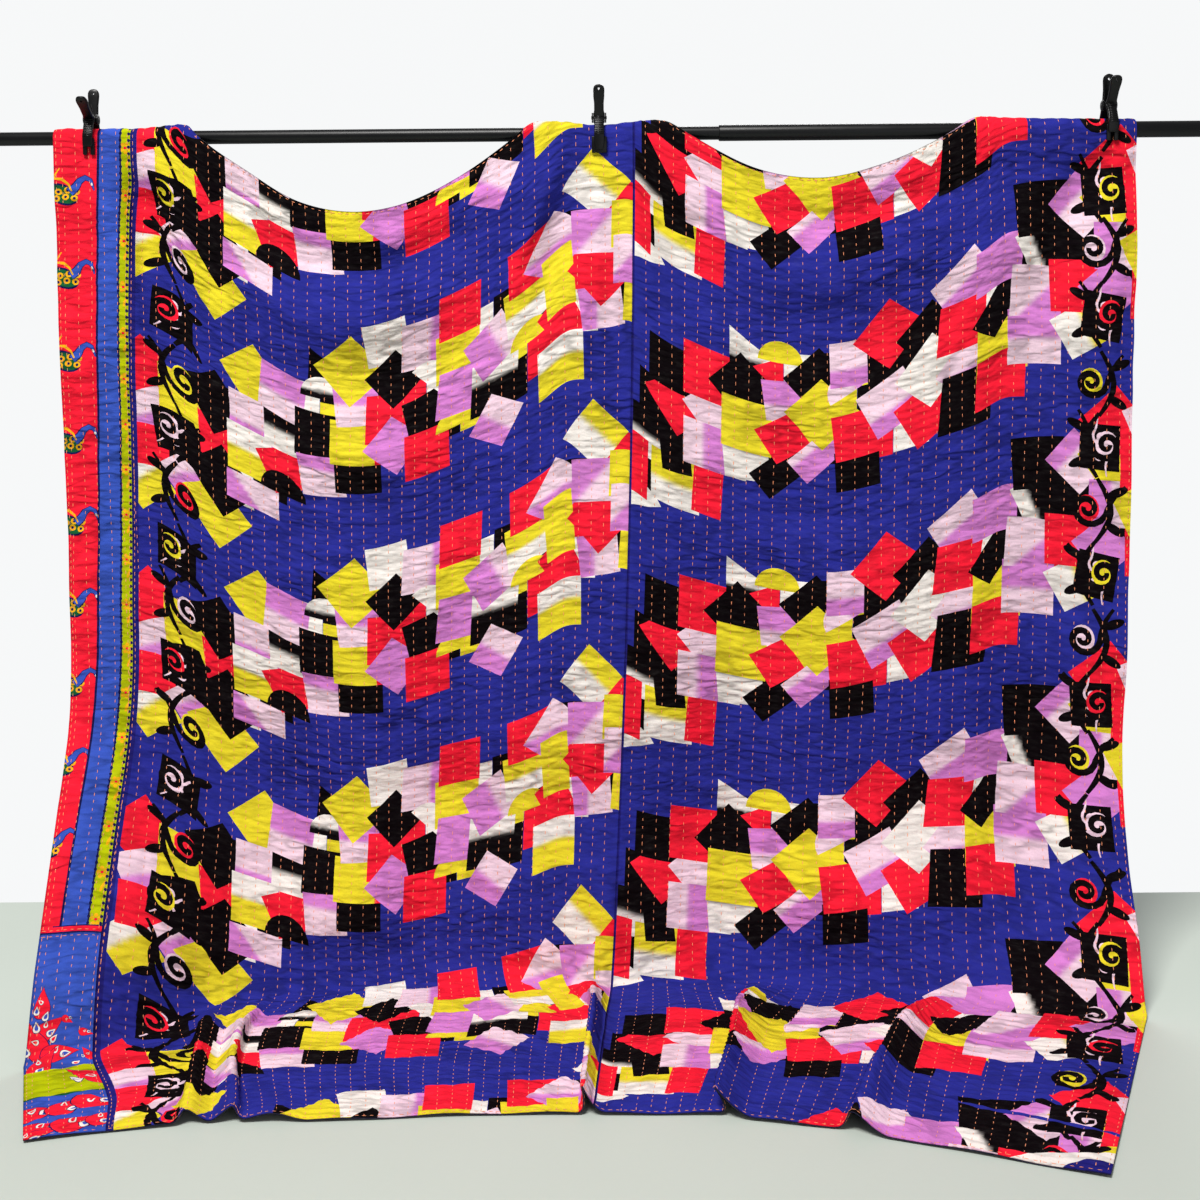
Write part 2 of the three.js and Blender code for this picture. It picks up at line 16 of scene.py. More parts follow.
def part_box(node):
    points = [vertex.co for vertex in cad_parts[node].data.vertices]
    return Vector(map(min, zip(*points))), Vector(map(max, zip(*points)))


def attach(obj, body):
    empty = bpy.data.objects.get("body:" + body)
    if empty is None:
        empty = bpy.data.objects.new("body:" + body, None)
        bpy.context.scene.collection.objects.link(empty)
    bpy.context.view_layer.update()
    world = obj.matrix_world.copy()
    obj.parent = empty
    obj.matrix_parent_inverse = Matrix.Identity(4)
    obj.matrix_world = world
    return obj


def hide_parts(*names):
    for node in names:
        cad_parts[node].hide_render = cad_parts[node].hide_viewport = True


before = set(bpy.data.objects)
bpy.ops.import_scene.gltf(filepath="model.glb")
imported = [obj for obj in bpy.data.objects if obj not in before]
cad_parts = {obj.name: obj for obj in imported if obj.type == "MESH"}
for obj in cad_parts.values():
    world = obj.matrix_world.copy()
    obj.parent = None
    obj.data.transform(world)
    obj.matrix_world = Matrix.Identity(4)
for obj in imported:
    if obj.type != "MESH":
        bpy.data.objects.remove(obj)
log = logging.getLogger("kantha_quilt")

MM = 0.001
Array = np.ndarray
Across = Callable[[Array], Array]
SHARP = math.radians(38)


def linked(name: str, data: bpy.types.ID) -> bpy.types.Object:
    """Put an object for some data into the scene.

    Args:
        name: The object's name.
        data: Its mesh, light or camera.

    Returns:
        The object.
    """
    made = bpy.data.objects.new(name, data)
    bpy.context.scene.collection.objects.link(made)
    return made


def settle(piece: bpy.types.Object) -> None:
    """Swap a piece's mesh for what its modifiers make of it, and take them off.

    Args:
        piece: The piece, its modifiers set.
    """
    given = piece.data
    graph = bpy.context.evaluated_depsgraph_get()
    piece_mesh = bpy.data.meshes.new_from_object(piece.evaluated_get(graph), depsgraph=graph)
    piece.modifiers.clear()
    piece.data = piece_mesh
    bpy.data.meshes.remove(given)
    piece_mesh.name = piece.name


def declare(piece: bpy.types.Object, slot: str, *nodes: str) -> bpy.types.Object:
    """Hang a finished piece on the root body, hide the solids that it stands for, and report it.

    Args:
        piece: The finished piece.
        slot: Name of a material slot, not used.
        nodes: The solids that it stands for.

    Returns:
        The same piece.
    """
    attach(piece, "root")
    if nodes:
        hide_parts(*nodes)
    log.info("%s: %d faces", piece.name, len(piece.data.polygons))
    return piece


# Colours and finishes


class Ink(Enum):
    """Dyes of the cloth and thread, as display values."""

    INDIGO = (40, 44, 142)
    SELVEDGE = (34, 32, 118)
    RED = (248, 30, 54)
    YELLOW = (230, 212, 44)
    LILAC = (210, 126, 204)
    PINK = (238, 206, 222)
    WHITE = (240, 232, 226)
    BLACK = (10, 5, 8)
    BLUE = (56, 84, 184)
    LIME = (178, 188, 6)
    GOLD = (240, 176, 22)
    NAVY = (22, 22, 76)
    GREEN = (24, 92, 52)
    THREAD = (250, 152, 104)
    BACK = (24, 22, 52)

    @property
    def linear(self) -> Array:
        """Scene-linear colour with alpha.

        Returns:
            Red, green, blue and alpha.
        """
        shown = np.array(self.value) / 255.0
        low = shown / 12.92
        high = ((shown + 0.055) / 1.055) ** 2.4
        return np.append(np.where(shown <= 0.04045, low, high), 1.0)


class Wire:
    """A socket that takes part in sums: each operator adds a Math node."""

    def __init__(self, bench: "Bench", socket: bpy.types.NodeSocket) -> None:
        """Keep the bench that holds the nodes and the socket itself."""
        self.bench = bench
        self.socket = socket

    def _math(self, operation: str, first: Any, second: Any) -> "Wire":
        """Join two values with one Math node."""
        made = self.bench.node("ShaderNodeMath", {"operation": operation}, {0: first, 1: second})
        return Wire(self.bench, made.outputs[0])

    def __add__(self, other: Any) -> "Wire":
        """Sum."""
        return self._math("ADD", self, other)

    __radd__ = __add__

    def __sub__(self, other: Any) -> "Wire":
        """Difference."""
        return self._math("SUBTRACT", self, other)

    def __rsub__(self, other: Any) -> "Wire":
        """Difference from a number."""
        return self._math("SUBTRACT", other, self)

    def __mul__(self, other: Any) -> "Wire":
        """Product."""
        return self._math("MULTIPLY", self, other)

    __rmul__ = __mul__

    def __pow__(self, other: Any) -> "Wire":
        """Power."""
        return self._math("POWER", self, other)


class Bench:
    """The nodes of one material."""

    def __init__(self, name: str) -> None:
        """Make an empty material with one Principled shader.

        Args:
            name: The material's name.
        """
        self.material = bpy.data.materials.new(name)
        self.material.use_nodes = True
        self.tree = self.material.node_tree
        self.shader = self.tree.nodes["Principled BSDF"]

    def node(
        self, kind: str, settings: Optional[dict] = None, sockets: Optional[dict] = None,
    ) -> bpy.types.Node:
        """Add one node.

        Args:
            kind: The node's type.
            settings: Its properties, set first.
            sockets: Values or links of its inputs, by name or number.

        Returns:
            The new node.
        """
        made = self.tree.nodes.new(kind)
        for key, value in (settings or {}).items():
            setattr(made, key, value)
        for key, value in (sockets or {}).items():
            self.feed(made.inputs[key], value)
        return made

    def feed(self, socket: bpy.types.NodeSocket, value: Any) -> None:
        """Link a wire or socket, or set a constant.

        Args:
            socket: The input.
            value: What it takes.
        """
        if isinstance(value, Wire):
            value = value.socket
        if isinstance(value, bpy.types.NodeSocket):
            self.tree.links.new(value, socket)
        else:
            socket.default_value = value

    def attribute(self, name: str, output: str) -> bpy.types.NodeSocket:
        """Read one of the mesh's own attributes."""
        return self.node("ShaderNodeAttribute", {"attribute_name": name}).outputs[output]

    def place(self) -> bpy.types.NodeSocket:
        """Object coordinates."""
        return self.node("ShaderNodeTexCoord").outputs["Object"]

    def stretched(self, place: Any, scale: Sequence[float], turn: float = 0.0) -> bpy.types.NodeSocket:
        """Coordinates scaled along each axis, and turned in their plane."""
        sockets = {"Vector": place, "Scale": scale, "Rotation": (0.0, 0.0, turn)}
        return self.node("ShaderNodeMapping", None, sockets).outputs["Vector"]

    def noise(self, place: Any, scale: float, detail: float = 2.0, roughness: float = 0.5) -> Wire:
        """Noise about one half."""
        sockets = {"Vector": place, "Scale": scale, "Detail": detail, "Roughness": roughness}
        return Wire(self, self.node("ShaderNodeTexNoise", None, sockets).outputs[0])

    def bands(self, place: Any, scale: float, direction: str) -> Wire:
        """Even waves along one axis.

        Args:
            place: The coordinates.
            scale: Waves for a unit of length.
            direction: The axis.

        Returns:
            The waves.
        """
        settings = {"wave_type": "BANDS", "bands_direction": direction}
        made = self.node("ShaderNodeTexWave", settings, {"Vector": place, "Scale": scale, "Distortion": 0.4})
        return Wire(self, made.outputs["Fac"])

    def scaled(self, colour: Any, amount: Any) -> bpy.types.NodeSocket:
        """A colour times a value."""
        made = self.node("ShaderNodeVectorMath", {"operation": "SCALE"}, {0: colour, "Scale": amount})
        return made.outputs[0]

    def blended(self, first: Any, second: Any, share: Any) -> bpy.types.NodeSocket:
        """Two colours mixed by a share.

        Args:
            first: Colour at share 0.
            second: Colour at share 1.
            share: The share.

        Returns:
            The mixed colour.
        """
        made = self.node("ShaderNodeMix", {"data_type": "RGBA"})
        self.feed(made.inputs[0], share)
        self.feed(made.inputs[6], first)
        self.feed(made.inputs[7], second)
        return made.outputs[2]

    def bump(self, height: Any, strength: float = 1.0) -> bpy.types.NodeSocket:
        """A normal from a height in metres."""
        sockets = {"Height": height, "Strength": strength, "Distance": 1.0}
        return self.node("ShaderNodeBump", None, sockets).outputs["Normal"]

    def finish(self, **sockets: Any) -> bpy.types.Material:
        """Feed the shader, with underscores for the spaces in its inputs' names.

        Args:
            sockets: A value for each input.

        Returns:
            The finished material.
        """
        for name, value in sockets.items():
            self.feed(self.shader.inputs[name.replace("_", " ")], value)
        return self.material


@dataclass(frozen=True)
class PrintedCotton:
    """Soft printed cotton that crimps between its stitches, with painted shade in its thin creases.

    Attributes:
        blotch: Scale of the uneven dye.
        grain: Scale of the fine flecks.
        crimp: Height of the small crimps in metres.
        pinch: Depth of the thin creases in metres.
        weave: Height of the weave in metres.
        thread_pitch: Scale of the weave.
        crimp_run: Scale of the crimps across and down.
        crease_run: Scale of the thin creases across and down.
        crease_turn: How far the creases lean, in radians.
        patch_run: Scale of the patches that have creases.
        thinness: How narrow the creases are.
        painted_shade: How much painted shade darkens the creases.
        wear_run: Stretch of the worn streaks.
        wear: Share of white in them.
    """

    blotch: float = 22.0
    grain: float = 380.0
    crimp: float = 0.0036
    pinch: float = 0.0013
    weave: float = 0.00005
    thread_pitch: float = 900.0
    crimp_run: tuple = (27.0, 62.0, 1.0)
    crease_run: tuple = (13.0, 40.0, 1.0)
    crease_turn: float = 0.05
    patch_run: tuple = (5.0, 11.0, 1.0)
    thinness: float = 50.0
    painted_shade: float = 0.29
    wear_run: tuple = (1.0, 3.0, 1.0)
    wear: float = 0.1

    def material(self) -> bpy.types.Material:
        """Build the finish that reads the print's own colours.

        Returns:
            The material.
        """
        bench = Bench("printed_cotton")
        flat = bench.attribute("flat", "Vector")
        ink = bench.attribute("print", "Color")
        blotch = bench.noise(flat, self.blotch, 3.0)
        grain = bench.noise(flat, self.grain, 2.0, 0.6)
        ripple = bench.noise(bench.stretched(flat, self.crimp_run), 1.0, 2.0, 0.5)
        level = bench.noise(bench.stretched(flat, self.crease_run, self.crease_turn), 1.0, 1.5) * 2.0 - 1.0
        patchy = bench.noise(bench.stretched(flat, self.patch_run), 1.0, 1.0)
        crease = ((1.0 - level * level) ** self.thinness) * (patchy ** 2.0) * 3.0
        # Dye blotches and flecks, times painted shade that darkens the colour along the thin creases.
        dye_and_shade = (0.78 + 0.24 * blotch + 0.24 * grain) * (1.0 - self.painted_shade * crease)
        worn = bench.noise(bench.stretched(flat, self.wear_run), 34.0, 4.0, 0.65)
        # Worn white streaks over that colour, its painted crease shade included.
        faded_with_shade = bench.blended(bench.scaled(ink, dye_and_shade), tuple(Ink.WHITE.linear), (worn ** 6.0) * self.wear)
        weave = bench.bands(flat, self.thread_pitch, "X") * bench.bands(flat, self.thread_pitch, "Y")
        height = ripple * self.crimp - crease * self.pinch + weave * self.weave
        return bench.finish(
            Base_Color=faded_with_shade, Roughness=0.78 + 0.2 * grain, Normal=bench.bump(height), Specular_IOR_Level=0.03
        )


@dataclass(frozen=True)
class BackingCotton:
    """Plain dark cotton of the quilt's back and cut edge.

    Attributes:
        ink: Its dye.
        pucker: Height of its puckers in metres.
        pucker_run: Scale of the puckers across and down.
        weave: Height of the weave in metres.
        thread_pitch: Scale of the weave.
    """

    ink: Ink = Ink.BACK
    pucker: float = 0.0011
    pucker_run: tuple = (17.0, 58.0, 1.0)
    weave: float = 0.00005
    thread_pitch: float = 900.0

    def material(self) -> bpy.types.Material:
        """Build the finish.

        Returns:
            The material.
        """
        bench = Bench("backing_cotton")
        flat = bench.attribute("flat", "Vector")
        blotch = bench.noise(flat, 18.0, 3.0)
        grain = bench.noise(flat, 420.0, 2.0, 0.6)
        ripple = bench.noise(bench.stretched(flat, self.pucker_run), 1.0, 2.5, 0.55)
        weave = bench.bands(flat, self.thread_pitch, "X") * bench.bands(flat, self.thread_pitch, "Y")
        colour = bench.scaled(tuple(self.ink.linear[:3]), 0.7 + 0.5 * blotch + 0.25 * grain)
        return bench.finish(
            Base_Color=colour, Roughness=0.78 + 0.18 * grain,
            Normal=bench.bump(ripple * self.pucker + weave * self.weave),
            Specular_IOR_Level=0.2, Sheen_Weight=0.1,
        )


@dataclass(frozen=True)
class StitchThread:
    """Twisted peach cotton thread."""

    ink: Ink = Ink.THREAD

    def material(self) -> bpy.types.Material:
        """Build the finish.

        Returns:
            The material.
        """
        bench = Bench("stitch_thread")
        place = bench.place()
        fade = bench.noise(place, 9.0, 2.0)
        ply = bench.bands(bench.stretched(place, (1.0, 1.0, 1.0), 0.6), 1400.0, "DIAGONAL")
        colour = bench.scaled(tuple(self.ink.linear[:3]), 0.75 + 0.4 * fade + 0.12 * ply)
        return bench.finish(
            Base_Color=colour, Roughness=0.62 + 0.2 * ply, Normal=bench.bump(ply * 0.00008), Sheen_Weight=0.2
        )


@dataclass(frozen=True)
class DarkFinish:
    """A black painted, moulded or rubbed surface.

    Attributes:
        name: The finish's name.
        colour: Scene-linear colour.
        sheen: Lowest roughness.
        rub: How far roughness rises where it is handled.
        grain: Pitch of its fine texture in metres.
        relief: Height of that texture in metres.
        metallic: Share of bare metal.
        gloss: Strength of its plain reflection.
    """

    name: str
    colour: tuple[float, float, float]
    sheen: float
    rub: float
    grain: float
    relief: float
    metallic: float = 0.0
    gloss: float = 0.26

    def material(self) -> bpy.types.Material:
        """Build the finish.

        Returns:
            The material.
        """
        bench = Bench(self.name)
        place = bench.place()
        fine = bench.noise(place, 1.0 / self.grain, 3.0, 0.6)
        handled = bench.noise(place, 28.0, 4.0, 0.62)
        scuff = bench.noise(bench.stretched(place, (9.0, 160.0, 160.0)), 1.0, 2.0, 0.7)
        lift = 0.75 + 0.45 * handled + 0.5 * (scuff ** 5.0)
        return bench.finish(
            Base_Color=bench.scaled(self.colour, lift),
            Roughness=self.sheen + self.rub * (handled * 0.7 + fine * 0.3),
            Normal=bench.bump(fine * self.relief), Metallic=self.metallic, Specular_IOR_Level=self.gloss,
        )


@dataclass(frozen=True)
class FloorPaint:
    """Pale painted floor."""

    colour: tuple[float, float, float] = (0.545, 0.600, 0.545)

    def material(self) -> bpy.types.Material:
        """Build the finish.

        Returns:
            The material.
        """
        bench = Bench("pale_floor")
        place = bench.place()
        cloud = bench.noise(place, 1.6, 4.0)
        speck = bench.noise(place, 90.0, 2.0)
        colour = bench.scaled(self.colour, 0.96 + 0.06 * cloud + 0.02 * speck)
        bump = bench.bump(speck * 0.0001)
        return bench.finish(Base_Color=colour, Roughness=0.5 + 0.16 * cloud, Normal=bump)


# Drape of the cloth


def smooth(at: Array, low: float, high: float) -> Array:
    """A soft step from 0 at low to 1 at high."""
    share = np.clip((at - low) / (high - low), 0.0, 1.0)
    return share * share * (3.0 - 2.0 * share)


def read_table(table: Array, column: int, at: Array) -> Array:
    """A smooth curve through a table's rows.

    Args:
        table: Rows with the place first.
        column: The column to read.
        at: Places to read it at.

    Returns:
        The column's values there.
    """
    key, value = table[:, 0], table[:, column]
    slope = np.gradient(value, key, edge_order=1)
    slope[1:-1] = (value[2:] - value[:-2]) / (key[2:] - key[:-2])
    i = np.clip(np.searchsorted(key, at) - 1, 0, len(key) - 2)
    span = key[i + 1] - key[i]
    u = (at - key[i]) / span
    start = (1 + 2 * u) * (1 - u) ** 2 * value[i] + u * (1 - u) ** 2 * span * slope[i]
    end = u * u * (3 - 2 * u) * value[i + 1] - u * u * (1 - u) * span * slope[i + 1]
    return start + end


class Noise:
    """Smooth random hills on a stretched grid, the same in every run."""

    def __init__(self, seed: int, across: float, down: float) -> None:
        """Draw the grid's heights.

        Args:
            seed: Start of the random draws.
            across: Width of a cell.
            down: Height of a cell.
        """
        self.size = 512
        self.cell = (across, down)
        self.heights = np.random.default_rng(seed).uniform(-1.0, 1.0, (self.size, self.size))

    def at(self, s: Array, t: Array) -> Array:
        """Height from -1 to 1 at places on the cloth.

        Args:
            s: Places across.
            t: Places down.

        Returns:
            One height for each place.
        """
        u, v = s / self.cell[0] + 100.0, t / self.cell[1] + 100.0
        i, j = np.floor(u).astype(int), np.floor(v).astype(int)
        fu, fv = u - i, v - j
        fu, fv = fu * fu * (3 - 2 * fu), fv * fv * (3 - 2 * fv)
        i, j = i % self.size, j % self.size
        i1, j1 = (i + 1) % self.size, (j + 1) % self.size
        top = self.heights[i, j] * (1 - fu) + self.heights[i1, j] * fu
        low = self.heights[i, j1] * (1 - fu) + self.heights[i1, j1] * fu
        return top * (1 - fv) + low * fv


@dataclass
class Drape:
    """The hung cloth in millimetres: s across from the left edge, t down from the top edge."""

    width: float = 2140.0
    length: float = 2200.0
    centre_seam: float = 1159.0
    corner_top: float = 1700.0
    half_thick: float = 0.8
    back_puff: float = 0.5
    rod_height: float = 1609.0
    inner_radius: float = 12.5
    outer_radius: float = 15.0
    tube_step: float = 200.0
    knee_radius: float = 500.0
    foot_radius: float = 48.0
    floor_rest: float = 1.4
    floor_ripple: float = 3.0
    ripple_pitch: float = 190.0
    ripple_grows: float = 120.0
    ridge_ease: float = 0.6
    fade_top: tuple[float, float] = (60.0, 170.0)
    fade_foot: tuple[float, float] = (-160.0, 10.0)
    step: float = 2.0
    row_pitch: float = 26.0
    first_row: float = 13.0

    # s, place across x, slid past the rod's crest, slack off the rod
    top_edge: Array = field(default_factory=lambda: np.array([
        (0, -1012, -60, 2), (67, -945, -60, 2), (170, -843, -55, 2.5), (230, -785, -18, 8),
        (277, -741, 35, 8), (383, -653, 94, 5), (490, -561, 150, 5), (594, -462, 171, 5),
        (690, -366, 158, 5), (800, -265, 112, 5), (924, -160, 46, 8), (975, -116, 8, 9),
        (1030, -62, -46, 7), (1076, -16, -60, 2), (1116, 24, -60, 2), (1159, 67, -52, 7),
        (1200, 107, -8, 9), (1261, 164, 36, 8), (1403, 291, 100, 5), (1530, 415, 120, 5),
        (1650, 532, 95, 5), (1763, 637, 54, 8), (1840, 707, 10, 9), (1905, 771, -42, 5),
        (2091, 957, -46, 2), (2140, 1003, -46, 2),
    ], float))
    # s, knee height, foot in front of the rod, hem in front of the rod
    drop: Array = field(default_factory=lambda: np.array([
        (0, 560, 420, 667), (130, 520, 375, 638), (325, 400, 175, 612), (600, 320, 100, 608),
        (860, 300, 88, 594), (1159, 300, 92, 596), (1450, 300, 108, 604), (1620, 300, 130, 636),
        (1790, 300, 170, 672), (2140, 320, 255, 796),
    ], float))
    # s, place across half way down, at the floor line and at the hem
    spread: Array = field(default_factory=lambda: np.array([
        (0, -1010, -985, -897), (1159, 52, 13, -16), (2140, 1003, 975, 736),
    ], float))
    # t, border seam's s
    border_seam: Array = field(default_factory=lambda: np.array([
        (0, 147), (800, 134), (1700, 112), (2200, 132),
    ], float))
    # at foot, at hem, wide, takes, rise, lean, start, full, left at the hem
    ridges: tuple = (
        (300, 296, 120, 70, 36, -14, -40, 170, 0.6), (392, 398, 120, 65, 32, 14, -20, 190, 0.7),
        (520, 505, 130, 0, 13, 0, 380, 500, 1.0), (1106, 1112, 150, 95, 46, -14, -70, 170, 1.0),
        (1450, 1458, 160, 100, 46, -34, -50, 180, 1.0), (1800, 1742, 150, 85, 42, -20, -70, 150, 0.7),
    )
    # from s, from t, to s, to t, half width, depth, peak
    folds: tuple = (
        (150, 110, 330, 640, 55, -28, 0.35), (95, 130, 185, 760, 60, 14, 0.4),
        (330, 110, 880, 110, 38, -14, 0.5), (320, 225, 900, 225, 52, 17, 0.5),
        (350, 360, 890, 360, 60, -13, 0.5), (380, 520, 860, 520, 80, 12, 0.5),
        (1085, 70, 950, 430, 34, -17, 0.3), (1040, 80, 890, 330, 30, 13, 0.3),
        (1110, 80, 1060, 540, 34, 10, 0.35), (1190, 80, 1330, 430, 44, -14, 0.35),
        (1290, 90, 1800, 90, 34, -10, 0.5), (1290, 200, 1810, 200, 50, 13, 0.5),
        (1330, 330, 1790, 330, 60, -10, 0.5), (2060, 90, 1890, 540, 48, -18, 0.35),
        (2105, 110, 2075, 720, 40, 10, 0.4), (240, 1500, 1060, 1520, 70, 12, 0.5),
        (1230, 1520, 2000, 1490, 70, 12, 0.5),
    )
    # pitch, phase, depth, from, to
    waves: tuple = ((520, 0.6, 14, 250, 1100), (310, 2.1, 7, 500, 1500))
    # seed, cell across, cell down, height, through all layers
    hills: tuple = ((11, 420.0, 150.0, 5.0), (12, 170.0, 52.0, 2.4))
    # seed, cell across, cell down, height, on the printed side
    ripples: tuple = ((13, 50.0, 18.0, 1.5),)
    # seed, cell across, cell down, depth, on the printed side
    furrows: tuple = ((14, 170.0, 44.0, 2.8), (15, 84.0, 27.0, 2.0))
    sharpness: float = 2.6
    stitch_pitch: float = 16.0
    pucker: float = 0.9
    deepest: float = 3.2
    backing_sink: float = 2.4
    # s and t where a pulled fold starts, s and t where it dies out, half width, height
    pulls: tuple = (
        (140.0, 120.0, 262.0, 900.0, 27.0, -17.0), (206.0, 130.0, 340.0, 800.0, 40.0, 9.0),
        (1070.0, 90.0, 880.0, 380.0, 30.0, -6.0), (1030.0, 150.0, 820.0, 520.0, 34.0, 4.0),
        (1124.0, 90.0, 1330.0, 380.0, 30.0, -6.0), (2078.0, 90.0, 1900.0, 420.0, 32.0, -6.0),
        (2030.0, 150.0, 1850.0, 560.0, 38.0, 4.0),
    )
    # place down at which the swags' sag is read, and how much of it the crimps don't follow
    swag_at: float = 300.0
    levelling: float = 0.5
    # s of each clip, and how far across and down its pads press the cloth flat
    clips: tuple = (67.0, 1096.0, 2091.0)
    pressed_across: tuple = (16.0, 44.0)
    pressed_down: tuple = (120.0, 190.0)
    # where the cloth comes free of the rod, walked from its crest, and where it meets the floor
    leaves_rod: tuple = (30.0, 120.0)
    meets_floor: tuple = (-60.0, 30.0)
    # sway of the rows: how far, its length down and across
    sway: tuple = ((2.2, 240.0, 97.0), (1.3, 88.0, -41.0))
    # shares of the hills, puckers and ripples left where the cloth rests, and their gain on the floor
    resting_hills: float = 0.4
    resting_pucker: float = 0.6
    resting_ripple: float = 0.5
    floor_gain: float = 1.4

    def __post_init__(self) -> None:
        """Find the rod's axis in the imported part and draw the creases."""
        low, high = (np.array(corner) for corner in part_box("rod_inner"))
        self.axis_y = float(low[1] + high[1]) / 2 / MM
        self.axis_z = float(low[2] + high[2]) / 2 / MM
        self.noises = {row: Noise(*row[:3]) for row in (*self.hills, *self.ripples, *self.furrows)}
        across = np.linspace(0.0, self.width, 120)
        heights = self.middle(across, np.full_like(across, self.swag_at))[:, 2]
        self.sag = (across, heights.max() - heights)

    def seam_at(self, t: Array) -> Array:
        """The border seam's place across."""
        return read_table(self.border_seam, 1, np.asarray(t, float))

    def line(self, s: Array, t: Array) -> dict[str, Array]:
        """Walk each line of cloth from its top edge to its hem.

        Args:
            s: Places across.
            t: Places down.

        Returns:
            Forward distance, height and heading of each place, with how far it is past the floor line.
        """
        tube = self.inner_radius + (self.outer_radius - self.inner_radius) * smooth(
            s, self.centre_seam, self.centre_seam + self.tube_step)
        radius = tube + read_table(self.top_edge, 3, s) + self.half_thick + self.back_puff
        knee, foot, hem = (read_table(self.drop, k, s) for k in (1, 2, 3))
        slant = np.arctan2(foot - radius, knee - self.floor_rest)
        turn = math.pi / 2 - slant
        trim1 = self.knee_radius * np.tan(slant / 2)
        trim2 = self.foot_radius * np.tan(turn / 2)
        run0 = self.rod_height - knee - trim1
        arc1 = self.knee_radius * slant
        run1 = np.hypot(foot - radius, knee - self.floor_rest) - trim1 - trim2
        arc2 = self.foot_radius * turn
        quarter = radius * math.pi / 2
        start = read_table(self.top_edge, 2, s)
        floor_at = quarter + run0 + arc1 + run1 + arc2 / 2
        end = quarter + run0 + arc1 + run1 + arc2 + (hem - foot - trim2)
        walked = start + (end - start) * t / self.length

        d = walked - quarter
        angle = np.maximum(walked, -quarter) / radius
        behind = np.maximum(0.0, -quarter - walked)
        past1, past2 = d - run0, d - run0 - arc1
        past3 = past2 - run1
        past4 = past3 - arc2
        now1 = past1 / self.knee_radius
        now2 = slant + past3 / self.foot_radius
        knee_forward = radius + self.knee_radius * (1 - np.cos(slant))
        knee_height = knee + trim1 - self.knee_radius * np.sin(slant)
        foot_forward = foot - trim2 * np.sin(slant)
        foot_height = self.floor_rest + trim2 * np.cos(slant)
        where = [walked <= quarter, past1 < 0, past2 < 0, past3 < 0, past4 < 0]
        forward = np.select(where, [
            radius * np.sin(angle), radius, radius + self.knee_radius * (1 - np.cos(now1)),
            knee_forward + past2 * np.sin(slant),
            foot_forward + self.foot_radius * (np.cos(slant) - np.cos(now2)),
        ], foot + trim2 + past4)
        height = np.select(where, [
            self.rod_height + radius * np.cos(angle) - behind, self.rod_height - d,
            knee + trim1 - self.knee_radius * np.sin(now1), knee_height - past2 * np.cos(slant),
            foot_height - self.foot_radius * (np.sin(now2) - np.sin(slant)),
        ], self.floor_rest)
        level = np.full_like(walked, math.pi / 2)
        heading = np.select(where, [math.pi / 2 - angle, 0 * walked, now1, slant + 0 * walked, now2], level)
        past = walked - floor_at
        return {
            "forward": forward, "height": height, "heading": heading, "walked": walked, "past": past,
            "floor": np.maximum(0.0, past / (end - floor_at)),
            "down": np.minimum(1.0, (walked - start) / (floor_at - start)),
        }

    def ridge_share(self, ridge: tuple, past: Array, floor: Array) -> Array:
        """How much of a floor ridge has grown."""
        grown = smooth(past, ridge[6], ridge[7])
        return grown * (1 + (ridge[8] - 1) * smooth(floor, self.ridge_ease, 1.0))

    def gathered(self, s: Array, past: Array, floor: Array) -> Array:
        """Place across once the ridges have taken up their cloth.

        Args:
            s: Places across.
            past: Distance past the foot.
            floor: Share that lies on the floor.

        Returns:
            The new places across.
        """
        rest = s + 0 * past
        for ridge in self.ridges:
            start = ridge[0] + (ridge[1] - ridge[0]) * floor - ridge[2] / 2
            taken = smooth((s - start) / ridge[2], 0.0, 1.0)
            rest = rest - ridge[3] * self.ridge_share(ridge, past, floor) * taken
        return rest

    def spread_across(self, column: int, s: Array, past: Array, floor: Array) -> Array:
        """Place of a gathered point between the left edge, the centre seam and the right edge.

        Args:
            column: Column of the edges' table.
            s: Places across.
            past: Distance past the foot.
            floor: Share that lies on the floor.

        Returns:
            One value for each place.
        """
        left, seam, right = (self.gathered(row[0], past, floor) for row in self.spread)
        here = self.gathered(s, past, floor)
        x = self.spread[:, column]
        near = x[0] + (x[1] - x[0]) * (here - left) / (seam - left)
        far = x[1] + (x[2] - x[1]) * (here - seam) / (right - seam)
        return np.where(here < seam, near, far)

    def fold_depth(self, s: Array, t: Array) -> Array:
        """Depth of the soft folds and waves before they fade.

        Args:
            s: Places across.
            t: Places down.

        Returns:
            One depth for each place.
        """
        depth = np.zeros_like(s)
        for s0, t0, s1, t1, half, deep, peak in self.folds:
            ds, dt = s1 - s0, t1 - t0
            along = ((s - s0) * ds + (t - t0) * dt) / (ds * ds + dt * dt)
            aside = np.hypot(s - s0 - along * ds, t - t0 - along * dt)
            inside = np.clip(along, 0.0, 1.0)
            window = np.sin(math.pi * inside ** (math.log(0.5) / math.log(peak)))
            depth += np.where((along > 0) & (along < 1), deep * window * np.exp(-((aside / half) ** 2)), 0.0)
        for pitch, phase, deep, first, last in self.waves:
            depth += deep * smooth(t, first, last) * np.sin(2 * math.pi * s / pitch + phase)
        return depth

